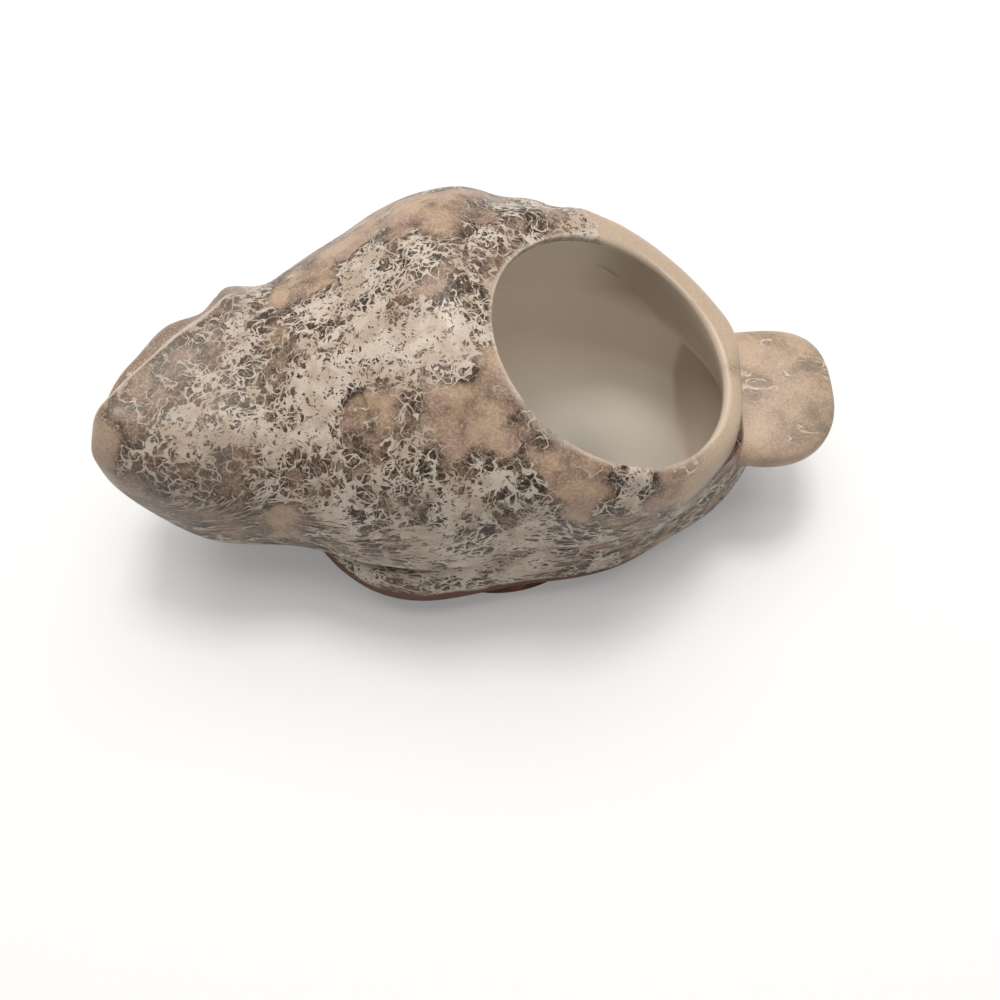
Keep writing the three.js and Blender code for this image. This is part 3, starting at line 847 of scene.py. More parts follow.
@dataclass(frozen=True)
class WebbedGlaze:
    """Brown glaze under a lace of cream strands that run together into patches with small holes."""

    sizes: OwlForm
    relief: Relief
    umber: Colour = paint(60, 47, 38)
    taupe: Colour = paint(116, 94, 78)
    tan: Colour = paint(195, 165, 137)
    rose: Colour = paint(172, 142, 125)
    cream: Colour = paint(219, 204, 188)
    sand: Colour = paint(196, 177, 158)
    beige: Colour = paint(201, 178, 154)
    dusk: Colour = paint(148, 126, 112)
    clay: Colour = paint(108, 74, 57)
    soot: Colour = paint(38, 32, 28)
    slate: Colour = paint(84, 84, 78)
    lace_spots: tuple[tuple[Spot, float, float], ...] = (
        ((-18.8, 5.3, 47.2), 12, 0.5), ((-9.3, -8.3, 49.8), 11, 0.45), ((-24.3, -8.6, 44.0), 11, 0.45),
        ((-25.7, -15.5, 41.1), 8, 0.25), ((-18.2, -24.6, 38.0), 13, 0.3), ((-30.8, -19.8, 35.2), 11, 0.25),
        ((-6.7, -29.0, 27.0), 13, 0.3), ((8.5, -27.0, 25.0), 11, 0.25), ((-44.2, -21.4, 35.0), 12, 0.12),
        ((-39.7, -10.7, 40.3), 11, 0.1), ((4.0, 24.0, 44.1), 8, 0.25), ((13.9, 22.8, 41.4), 5, 0.5),
        ((6.4, -20.3, 43.6), 4, 0.5), ((-20, 34, 26), 14, 0.3), ((4, 35, 22), 12, 0.3),
        ((-50, 6, 22), 12, 0.2), ((-17.8, -16.1, 43.0), 8, -0.25), ((0, 0, 4), 10, 0.2),
        ((-10, -29, 12), 16, 0.35), ((10, -26, 12), 14, 0.3))
    bare_spots: tuple[tuple[Spot, float, float], ...] = (
        ((-30.7, 9.5, 42.0), 9, 0.8), ((-25.0, 17.9, 41.5), 9, 0.9), ((-10.1, 18.1, 48.2), 12, 0.8),
        ((-3.5, -16.4, 46.7), 11, 0.9), ((0.7, -11.4, 46.8), 9, 0.9), ((13.7, -24.2, 40.4), 9, 0.7),
        ((-52.0, -10.3, 39.6), 6, 0.2))
    pale_from: float = 24.6
    chip: Spot = (18.9, -22.0, 39.9)

    def cover(self, book: FinishBook, at: bpy.types.NodeSocket, bare: Field) -> Field:
        """Tells how thickly the cream lies.

        Args:
            book: The finish's tree.
            at: The place on the owl.
            bare: How far the place is kept bare, from 0 to 1.

        Returns:
            0 where bare, about 0.3 in a loose web and 0.66 in a patch.
        """
        drift = book.stray(at, 7.0, 5.0)
        cover = 0.29 + 1.8 * (book.noise(at, 9.0, 2.0) - 0.5)
        for spot, reach, weight in self.lace_spots:
            cover = cover + weight * book.near(drift, spot, reach)
        return (cover.least(0.66) - 0.6 * bare).most(0.0)

    def lace(self, book: FinishBook, at: bpy.types.NodeSocket, cover: Field) -> Field:
        """Draws the cream lace: broken curling strands, then patches with small holes.

        Args:
            book: The finish's tree.
            at: The place on the owl.
            cover: How thickly the cream lies.

        Returns:
            How much cream lies on the glaze, from 0 to 1.
        """
        curled = book.stray(book.stray(at, 2.4, 1.5), 0.8, 0.45)
        tangled = book.stray(book.stray(at, 1.5, 1.0), 0.55, 0.32)
        broken = book.noise(at, 3.0, 2.0) - 0.5
        wide = 0.11 + 0.07 * cover + 0.2 * (book.noise(at, 1.1, 1.0) - 0.5)
        hair = 0.45 * (0.06 - 2.1 * book.web(tangled, 2.1)).step(-0.05, 0.04)
        lace = hair * (cover + 0.7 * broken).step(0.05, 0.2)
        flowing = book.stray(book.stray(at, 3.0, 1.4), 0.7, 0.22)
        for shift, start in (((0, 0, 0), 0.04), ((31, 7, 13), 0.1), ((11, 47, 5), 0.18), ((23, 3, 41), 0.26)):
            contour = book.noise(book.vector("ADD", {0: flowing, 1: shift}), 4.4, 1.0)
            thread = (0.085 * wide - abs(contour - 0.5)).step(-0.008, 0.003)
            lace = lace.most(thread * (cover - broken).step(start, start + 0.12))
        layers = ((curled, 2.6, 0.85, 0.36, 0.9), (tangled, 1.6, 0.7, 0.5, -0.9))
        for bent, size, share, start, spread in layers:
            strand = (share * wide - size * book.web(bent, size)).step(-0.04, 0.02)
            lace = lace.most(strand * (cover + spread * broken).step(start, start + 0.1))
        flecks = 0.8 * (book.noise(tangled, 1.9, 3.0) - 0.5) + 1.4 * (book.noise(curled, 0.95, 2.0) - 0.5)
        return lace.most((cover + flecks).step(0.6, 0.65))

    def mouth_edge(self, book: FinishBook, at: bpy.types.NodeSocket) -> Field:
        """Marks the edge of the mouth, where the glaze ran thin.

        Args:
            book: The finish's tree.
            at: The place on the owl.

        Returns:
            1 on the edge, falling to 0 beside it.
        """
        axis = tuple(self.sizes.axis)
        offset = book.vector("SUBTRACT", {0: at, 1: tuple(self.sizes.opening)})
        along = book.vector("DOT_PRODUCT", {0: offset, 1: axis}, "Value")
        lifted = book.vector("SCALE", {0: axis, "Scale": along})
        aside = book.vector("SUBTRACT", {0: offset, 1: lifted})
        radius = Field(book, book.vector("LENGTH", {0: aside}, "Value"))
        return (radius - self.sizes.mouth_radius).step(0.9, 0.3) * Field(book, along).step(-6, -4)

    def ruff(self, book: FinishBook, out: Field, height: Field) -> Field:
        """Marks the eye discs' raised edges and feather strokes, where the glaze broke thin.

        Args:
            book: The finish's tree.
            out: How far the place lies to the right of the face's middle.
            height: How high it lies.

        Returns:
            1 on an edge or a stroke, 0 beside them.
        """
        relief = self.relief
        aside, up = abs(out) - relief.eye_out, height - relief.eye_height
        radius = (aside * aside + up * up).root()
        angle = book.value("ShaderNodeMath", {"operation": "ARCTAN2"}, {0: up, 1: aside})
        wave = book.value("ShaderNodeMath", {"operation": "SINE"}, {0: relief.feathers * angle})
        strokes = wave.step(0.1, 0.7) * radius.step(4.4, 5.0) * radius.step(relief.disc_radius - 1, 6.4)
        edge = abs(radius - relief.disc_radius + 0.9).step(1.0, 0.4)
        return edge.most(0.8 * strokes) * abs(out).step(15.5, 13.5)

    def dress(self, name: str, paler: float = 0.0) -> bpy.types.Material:
        """Makes the finish.

        Args:
            name: The material's name.
            paler: How much of the pale beige glaze covers it everywhere, from 0 to 1.

        Returns:
            The material.
        """
        book = FinishBook(name)
        at = book.place()
        drift = book.stray(at, 6.0, 4.0)
        bare = reduce(Field.most, (weight * book.near(drift, spot, reach)
                                   for spot, reach, weight in self.bare_spots))
        x, y, z = (book.value("ShaderNodeSeparateXYZ", {}, {0: at}, axis) for axis in "XYZ")
        behind = book.value("ShaderNodeSeparateXYZ", {}, {0: drift}, "X")
        edge = behind + 0.35 * y - self.pale_from
        pale = (edge.step(-0.4, 0.4) * y.step(-4, 6)).most(edge.step(-9, 5) * y.step(6, -4)) * z.step(26, 29)
        pale = pale.most(paler)
        low = z.step(33, 22)
        cloud_edge = book.noise(at, 3.0, 2.0)
        drawn = book.add("ShaderNodeCombineXYZ", {}, {0: x * (1.0 - 0.5 * low), 1: y, 2: z}).outputs[0]
        sine, cosine = math.sin(self.sizes.head_turn), math.cos(self.sizes.head_turn)
        from_x, from_y = x - self.sizes.face_x, y - self.sizes.face_y
        ahead = sine * from_y - cosine * from_x
        out = sine * from_x + cosine * from_y
        crest = ahead - self.relief.crest_slope * out - self.relief.crest_ahead
        line = abs(crest).step(0.5, 0.2) * abs(out).step(16.5, 12.5) * z.step(28, 31)
        front = crest.step(0.3, 0.9) * z.step(24, 31)
        lip = (out + 1.2 * (cloud_edge - 0.5)).step(-13.6, -15.6) * z.step(24, 30) * ahead.step(-6.0, -3.5)
        cover = self.cover(book, at, bare.most(pale).most(0.7 * front).most(lip))
        lace = self.lace(book, drawn, cover)
        grain = book.noise(at, 0.36, 2.0)
        cloud = book.noise(drift, 5.0, 3.0)
        ground = book.blend((cloud + 0.5 * (grain - 0.5)).step(0.35, 0.7), self.umber, self.taupe)
        warm = book.blend(book.noise(at, 7.0).step(0.4, 0.6), self.tan, self.rose)
        open_ground = (0.17 - cover + 0.9 * (cloud - 0.5)).step(-0.15, 0.3)
        ground = book.blend(open_ground * (0.55 + 0.45 * x.step(-44, -34)), ground, warm)
        blots = book.noise(drift, 4.5, 1.0).step(0.52, 0.6) * x.step(-27, -36)
        ground = book.blend(0.65 * blots, ground, self.slate)
        ground = book.blend(0.7 * front, ground, self.dusk)
        ground = book.blend(pale.most(0.75 * lip), ground, self.beige)
        ground = book.blend((0.12 + 0.5 * open_ground) * grain.step(0.5, 0.62), ground, self.sand)
        veil = book.blend(cloud.step(0.4, 0.6), self.cream, self.sand)
        haze = 0.2 * x.step(-31, -41)
        coat = book.blend((0.94 - haze) * lace, book.blend(haze, ground, self.dusk), veil)
        face = crest.step(0.1, 0.6).most(z.step(33, 30)) * ahead.step(-10, -7)
        coat = book.blend(0.6 * face * self.ruff(book, out, z), coat, self.sand)
        coat = book.blend(0.75 * line, coat, self.cream)
        coat = book.blend(((0.5 - grain) * 0.9).most(0.0), coat, self.soot)
        foot_line = (z + 0.05 * x + 3.0 * (book.noise(at, 4.0) - 0.5)).step(9.8, 8.6)
        coat = book.blend(foot_line, coat, self.clay)
        coat = book.blend(0.5 * self.mouth_edge(book, at), coat, self.cream)
        coat = book.blend(book.near(book.stray(at, 0.8, 0.3), self.chip, 1.0), coat, self.soot)
        rough = 0.4 + 0.06 * lace + 0.3 * foot_line + 0.12 * (grain - 0.5)
        book.finish(coat, rough, 0.65 * lace + 0.35 * grain, 0.1, 0.28,
                    {"Coat Weight": 0.16, "Coat Roughness": 0.22})
        return book.material


@dataclass(frozen=True)
class LinerGlaze:
    """Plain thin glaze inside the hollow, with painted light and shade: pale upper walls, painted shade low
    on the near side and darker toward the front, painted shade high toward the tail and on the rear facet,
    and a glow that stands in for bounced light.
    """

    # Painted light: pale colour of the upper and far walls, where light falls into the hollow; also the
    # colour of the glow.
    light: Colour = paint(238, 229, 215)
    # Painted shade on the low near side of the hollow, lighter toward the tail and darker toward the front.
    floor: Colour = paint(172, 163, 150)
    painted_shade_corner: Colour = paint(123, 117, 108)
    # Painted shade on the upper wall toward the tail, under the rim.
    deep: Colour = paint(192, 177, 158)
    # Painted shade on the rear facet of the hollow, low down toward the tail.
    painted_shade_facet: Colour = paint(196, 184, 169)
    # Painted light: strength of a glow that stands in for light bounced about under the back; it is no lamp.
    glow: float = 0.105

    def dress(self, name: str) -> bpy.types.Material:
        """Makes the finish, with painted light and shade and a faint glow that stands in for light bouncing
        about under the back.

        Args:
            name: The material's name.

        Returns:
            The material.
        """
        book = FinishBook(name)
        at = book.place()
        cloud = book.noise(at, 14.0, 3.0)
        grain = book.noise(at, 0.5, 2.0)
        along, aside, height = (book.value("ShaderNodeSeparateXYZ", {}, {0: at}, axis) for axis in "XYZ")
        # Height with a little noise, to place the painted light and shade.
        painted_shade_height = height + 8.0 * (cloud - 0.5)
        # Painted shade: darker toward the front of the hollow.
        low = book.blend(along.step(26, 14), self.floor, self.painted_shade_corner)
        # Painted light on the upper and far walls, painted shade low on the near side.
        coat = book.blend(painted_shade_height.step(28, 14) * aside.step(22, -6), self.light, low)
        # Painted shade high on the wall toward the tail, under the rim.
        coat = book.blend(painted_shade_height.step(19, 26) * along.step(12, 26), coat, self.deep)
        # Painted shade on the rear facet, low down toward the tail.
        coat = book.blend(along.step(33.0, 34.4) * height.step(20, 17), coat, self.painted_shade_facet)
        # Painted light: the glow is strongest toward the front of the hollow and on its near side, standing
        # in for bounced light.
        painted_glow_share = along.step(26, 6) * (0.5 + 0.5 * aside.step(20, 6))
        painted_bounce_light = book.blend(painted_glow_share, (0.0, 0.0, 0.0, 1.0), self.light)
        book.finish(coat, 0.5 + 0.15 * (cloud - 0.5), 0.5 * cloud + 0.3 * grain, 0.08, 0.4,
                    {"Emission Color": painted_bounce_light, "Emission Strength": self.glow})
        return book.material


@dataclass(frozen=True)
class UmberGlaze:
    """Dark glaze of the eyes and beak, worn paler where it is thin."""

    dark: Colour = paint(58, 44, 36)
    worn: Colour = paint(120, 94, 76)

    def dress(self, name: str) -> bpy.types.Material:
        """Makes the finish.

        Args:
            name: The material's name.

        Returns:
            The material.
        """
        book = FinishBook(name)
        at = book.place()
        cloud = book.noise(at, 2.2, 3.0)
        grain = book.noise(at, 0.25, 2.0)
        coat = book.blend((cloud + 0.3 * (grain - 0.5)).step(0.52, 0.74), self.dark, self.worn)
        book.finish(coat, 0.3 + 0.25 * cloud, 0.6 * cloud + 0.4 * grain, 0.08, 0.5)
        return book.material


@dataclass(frozen=True)
class BareClay:
    """Reddish unglazed clay of the foot, gritty and scuffed."""

    red: Colour = paint(128, 86, 64)
    dark: Colour = paint(78, 54, 42)
    grit: Colour = paint(168, 128, 100)

    def dress(self, name: str) -> bpy.types.Material:
        """Makes the finish.

        Args:
            name: The material's name.

        Returns:
            The material.
        """
        book = FinishBook(name)
        at = book.place()
        cloud = book.noise(at, 3.5, 4.0)
        grain = book.noise(at, 0.35, 3.0)
        coat = book.blend(cloud.step(0.35, 0.65), self.dark, self.red)
        coat = book.blend(grain.step(0.62, 0.72), coat, self.grit)
        book.finish(coat, 0.82 + 0.1 * (grain - 0.5), 0.4 * cloud + 0.6 * grain, 0.2, 0.25)
        return book.material


@dataclass
class Finishes:
    """The owl's finishes, each made once."""

    webbed: bpy.types.Material
    pale: bpy.types.Material
    liner: bpy.types.Material
    umber: bpy.types.Material
    clay: bpy.types.Material


@dataclass
class SkinForms:
    """The closed forms that the pieces of the skin are cut from."""

    sizes: OwlForm
    relief: Relief
    segments: int = 240
    rings: int = 220
    grain: float = 0.9
    well_gap: float = 0.8
    well_lean: float = 2.6
    near_undercut: float = 1.1
    ledge_rise: float = 12.0
    ledge_wide: float = 1.08
    ledge_depth: float = 0.13

    def build(self) -> None:
        """Models the outside of both forms, their common hollow and the mouth's opening."""
        sizes = self.sizes
        self.wing_up = np.array([-math.sin(sizes.wing_rise), 0, math.cos(sizes.wing_rise)])
        self.cape = self._form("cape_form", Form.CAPE, 0, self.segments, self.rings)
        self.bowl = self._form("bowl_form", Form.BOWL, 0, self.segments, self.rings)
        self.hollow = self._hollow()
        self.opening = self._opening()
        graph = bpy.context.evaluated_depsgraph_get()
        self.trees = {form: BVHTree.FromObject(form, graph)
                      for form in (self.cape, self.bowl, self.hollow, self.opening)}

    def _form(self, name: str, form: Form, inset: float, segments: int, rings: int) -> bpy.types.Object:
        """Models one form from a sphere whose poles become the ends of the body.

        Args:
            name: The object's name.
            form: Which form.
            inset: How far inside the skin it lies, in millimetres; on the skin it gets the relief.
            segments: Faces around the body.
            rings: Faces along it.

        Returns:
            The object.
        """
        deselect()
        bpy.ops.mesh.primitive_uv_sphere_add(segments=segments, ring_count=rings, radius=MM)
        piece = named(name)
        ball = corners(piece)
        turn = np.arccos(np.clip(ball[:, 2], -1, 1))
        move_corners(piece, self.sizes.place(form, turn, np.arctan2(ball[:, 1], ball[:, 0]), inset))
        tidy_normals(piece)
        if inset == 0:
            normals = np.array([v.normal for v in piece.data.vertices])
            move_corners(piece, self.relief.raised(self.sizes, corners(piece), normals))
            rump = self.sizes.rump_reach
            self._calm(piece, smooth(corners(piece)[:, 0], rump - 1.6, rump - 0.6), 12)
        bpy.ops.object.shade_smooth()
        return piece

    def _calm(self, piece: bpy.types.Object, weights: Array, steps: int) -> None:
        """Smooths a mesh.

        Args:
            piece: The mesh's object.
            weights: How strongly each of its points follows, from 0 to 1.
            steps: How often it is smoothed.
        """
        pick(piece)
        group = piece.vertex_groups.new(name="calm")
        for index in np.flatnonzero(weights > 0):
            group.add([int(index)], float(weights[index]), "REPLACE")
        calm = piece.modifiers.new("calm", "SMOOTH")
        calm.factor = 0.5
        calm.iterations = steps
        calm.vertex_group = group.name
        bpy.ops.object.modifier_apply(modifier=calm.name)
        piece.vertex_groups.clear()

    def _toward_tail(self, points: Array) -> tuple[Array, Array]:
        """Measures points against the mouth in plan.

        Args:
            points: The points, in millimetres.

        Returns:
            Their distance from its middle, where 1 is its edge, and their angle from the tail's side.
        """
        sizes = self.sizes
        across = (points[:, 0] - sizes.opening[0]) / (sizes.mouth_radius * sizes.axis[2])
        aside = (points[:, 1] - sizes.opening[1]) / sizes.mouth_radius
        return np.hypot(across, aside), np.degrees(np.arctan2(aside, across))

    def _ledge(self, x: Array, turn: Array) -> Array:
        """Gives the height where the upright wall under the mouth ends.

        Args:
            x: Places along the body, in millimetres.
            turn: Angles around the mouth from the tail's side, in degrees.

        Returns:
            The heights, in millimetres.
        """
        rise = self.ledge_rise * smooth(turn, 50, 95) * (1 - smooth(turn, 140, 175))
        return self.sizes.wing_edge + x * math.tan(self.sizes.wing_rise) + rise

    def _hollow(self) -> bpy.types.Object:
        """Models the hollow: the inside of the cape over that of the belly, smoothed where they meet.

        Returns:
            The object.
        """
        sizes = self.sizes
        upper = self._form("hollow_form", Form.CAPE, sizes.wall, self.segments // 2, self.rings // 2)
        lower = self._form("lower_hollow", Form.BOWL, sizes.wall, self.segments // 2, self.rings // 2)
        points = corners(upper)
        reach, turn = self._toward_tail(points)
        share = smooth(turn, -35, 5) * (1 - smooth(turn, 80, 125))
        middle = np.array([sizes.opening[0], sizes.opening[1], 0])
        flat = np.array([1.0, 1.0, 0])
        above = smooth(points[:, 2] - self._ledge(points[:, 0], turn), -0.6, 0.4)
        wide = self.ledge_wide - self.ledge_depth * above
        draw = share * np.clip(1 - wide / np.maximum(reach, 0.1), 0, 1)
        move_corners(upper, points - draw[:, None] * (points - middle) * flat)
        points = corners(lower)
        reach, turn = self._toward_tail(points)
        bell = 0.06 * smooth(turn, -35, 5) * (1 - smooth(turn, 70, 160)) * smooth(reach, 0.5, 0.9)
        points = points + bell[:, None] * (points - middle) * flat
        points[:, 2] += 1.7 * np.clip(points[:, 0] - 34.5, 0, 8) * (1 - smooth(points[:, 2], 8, 22))
        move_corners(lower, points)
        deselect()
        bpy.ops.mesh.primitive_cube_add(size=300 * MM)
        block = named("belly_block")
        trim(block, (-sizes.neck_reach, 0, 0), (-1, 0, 0))
        trim(block, (0, 0, sizes.wing_edge), self.wing_up)
        cut(upper, block)
        cut(lower, block, "INTERSECT")
        cut(upper, lower, "UNION")
        scrap(lower, block)
        pick(upper)
        even = upper.modifiers.new("even", "REMESH")
        even.mode = "VOXEL"
        even.voxel_size = self.grain * MM
        bpy.ops.object.modifier_apply(modifier=even.name)
        self._calm(upper, 1 - 0.9 * smooth(corners(upper)[:, 0], 12, 24), 40)
        bpy.ops.object.shade_smooth()
        return upper

    def _opening(self) -> bpy.types.Object:
        """Models what the mouth takes out of the back: a rounded edge over a well with upright walls.

        Returns:
            The object.
        """
        sizes = self.sizes
        radius = sizes.mouth_radius
        arc = [(1 - math.sin(b), math.cos(b) - 1) for b in np.linspace(0, math.pi / 2, 9)]
        wall = [(0, -1.2), *([(0, -2.4)] * 5)]
        profile = np.array([(-radius, 20), (1, 20), (1, 8), *arc, *wall, (-radius, -2.4)])
        edge, last = 3 + len(arc), len(profile) - 1
        deselect()
        bpy.ops.mesh.primitive_uv_sphere_add(segments=192, ring_count=last, radius=MM)
        piece = named("mouth_opening")
        ball = corners(piece)
        row = np.rint(np.arccos(np.clip(ball[:, 2], -1, 1)) / math.pi * last).astype(int)
        angle = np.arctan2(ball[:, 1], ball[:, 0])
        soft = 0.3 + 0.8 * smooth(np.cos(angle - 0.5), -0.2, 0.6)
        rounded = (row > 0) & (row < edge)
        out = radius + np.where(rounded, profile[row, 0] * soft, profile[row, 0])
        turn = np.degrees(angle)
        under = smooth(np.cos(angle - math.radians(130)), 0.25, 0.75) * np.clip(row - edge, 0, 2)
        lean = smooth(turn, 35, -10) * smooth(turn, -110, -80) * np.clip((row - edge) / 5, 0, 1)
        out = out + np.where(row < last, self.near_undercut * under + self.well_lean * lean, 0)
        high = np.where(rounded & (profile[row, 1] <= 0), profile[row, 1] * soft, profile[row, 1])
        points = (sizes.opening + (out * np.cos(angle))[:, None] * sizes.downhill
                  + (out * np.sin(angle))[:, None] * np.array([0, 1.0, 0]) + high[:, None] * sizes.axis)
        fall = np.clip((row - edge - 1) / 4, 0, 1)
        floor = self._ledge(points[:, 0], turn) - self.well_gap
        points[:, 2] += fall * (floor - points[:, 2])
        move_corners(piece, points)
        tidy_normals(piece)
        return piece

    def lined(self, piece: bpy.types.Object) -> Array:
        """Finds what of a piece the liner covers.

        Args:
            piece: The piece.

        Returns:
            For each of its corners, whether it lies on the hollow or on the opening under its edge.
        """
        reach = 0.03 * MM
        depth, _ = self.sizes.over_mouth(corners(piece))
        inside, well = (np.array([self.trees[form].find_nearest(v.co, reach)[3] is not None
                                  for v in piece.data.vertices]) for form in (self.hollow, self.opening))
        return inside | (well & (depth < -1.0))

    def dress(self, piece: bpy.types.Object, form: bpy.types.Object, coat: bpy.types.Material,
              liner: bpy.types.Material) -> None:
        """Glazes a piece of the skin and carries the whole skin's shading over its seams.

        Args:
            piece: The piece.
            form: The form that it was cut from.
            coat: The finish of its outside.
            liner: The finish of its inside.
        """
        tidy_normals(piece)
        round_off(piece)
        near = self.trees[form].find_nearest
        on_skin = np.array([near(v.co)[3] < 0.02 * MM for v in piece.data.vertices])
        lined = self.lined(piece)
        piece.data.materials.clear()
        piece.data.materials.append(coat)
        piece.data.materials.append(liner)
        for face in piece.data.polygons:
            face.material_index = int(lined[list(face.vertices)].all())
        group = piece.vertex_groups.new(name="skin")
        group.add([int(i) for i in np.flatnonzero(on_skin)], 1.0, "REPLACE")
        carry = piece.modifiers.new("skin_shading", "DATA_TRANSFER")
        carry.object = form
        carry.use_loop_data = True
        carry.data_types_loops = {"CUSTOM_NORMAL"}
        carry.loop_mapping = "POLYINTERP_NEAREST"
        carry.vertex_group = group.name
        pick(piece)
        bpy.ops.object.modifier_apply(modifier=carry.name)
        piece.vertex_groups.clear()

    def clear(self) -> None:
        """Takes the forms away."""
        scrap(self.cape, self.bowl, self.hollow, self.opening)


def hand_over(piece: bpy.types.Object, node: str) -> None:
    """Lets a finished piece stand for its solid.

    Args:
        piece: The piece.
        node: The solid's name.
    """
    piece.name = piece.data.name = node + "_fired"
    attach(piece, "root")
    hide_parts(node)
    log.info("%s: %d faces", piece.name, len(piece.data.polygons))


@dataclass
class Body:
    """Back, wings, belly and the coil around the planting mouth."""

    forms: SkinForms
    finishes: Finishes

    def _seat(self) -> bpy.types.Object:
        """Models the round block that the coil is cut out by, along the axis of the mouth.

        Returns:
            The block.
        """
        sizes = self.forms.sizes
        height = sizes.mouth_radius
        middle = sizes.mouth + sizes.axis * (height - sizes.rim_depth) / 2
        deselect()
        bpy.ops.mesh.primitive_cylinder_add(
            vertices=192, radius=sizes.wall_half * MM, depth=(height + sizes.rim_depth) * MM,
            location=middle * MM, rotation=(0, sizes.mouth_tilt, 0))
        return named("coil_cutter")

    def _wing_block(self, side: int) -> bpy.types.Object:
        """Models the block that a wing is cut out by.

        Args:
            side: -1 for the owl's left, 1 for its right.

        Returns:
            The block.
        """
        sizes = self.forms.sizes
        front = -sizes.neck_reach + sizes.wing_gap
        size = 100.0
        deselect()
        bpy.ops.mesh.primitive_cube_add(size=size * MM, location=(
            (front + size / 2) * MM, side * (sizes.wing_seam + size / 2) * MM, 0))
        return named("wing_cutter")

    def build(self) -> None:
        """Cuts the pieces out of the skin."""
        sizes, forms = self.forms.sizes, self.forms
        neck, edge = (-sizes.neck_reach, 0, 0), (0, 0, sizes.wing_edge)
        seat = self._seat()
        blocks = {side: self._wing_block(side) for side in (-1, 1)}
        self.saddle = copy_of(forms.cape, "back_saddle")
        trim(self.saddle, neck, (-1, 0, 0))
        trim(self.saddle, edge, -forms.wing_up)
        self.coil = copy_of(self.saddle, "mouth_rim")
        cut(self.coil, seat, "INTERSECT")
        self.wings = {}
        for side, block in blocks.items():
            self.wings[side] = copy_of(self.saddle, "wing")
            cut(self.wings[side], block, "INTERSECT")
            cut(self.wings[side], forms.hollow)
            cut(self.saddle, block)
        cut(self.saddle, seat)
        for piece in (self.saddle, self.coil):
            cut(piece, forms.opening)
            cut(piece, forms.hollow)
        self.belly = copy_of(forms.bowl, "belly_bowl")
        trim(self.belly, neck, (-1, 0, 0))
        trim(self.belly, edge, forms.wing_up)
        cut(self.belly, forms.hollow)
        cut(self.belly, seat)
        cut(self.belly, forms.opening)
        scrap(seat, *blocks.values())

    def dress(self) -> None:
        """Glazes the pieces and hands them over."""
        webbed, liner = self.finishes.webbed, self.finishes.liner
        for piece, form, node, slot in (
                (self.saddle, self.forms.cape, "back_saddle", "webbed_glaze"),
                (self.wings[-1], self.forms.cape, "left_wing", "webbed_glaze"),
                (self.wings[1], self.forms.cape, "right_wing", "webbed_glaze"),
                (self.belly, self.forms.bowl, "belly_bowl", "webbed_glaze"),
                (self.coil, self.forms.cape, "mouth_rim", "pale_glaze")):
            self.forms.dress(piece, form, webbed, liner)
            hand_over(piece, node)


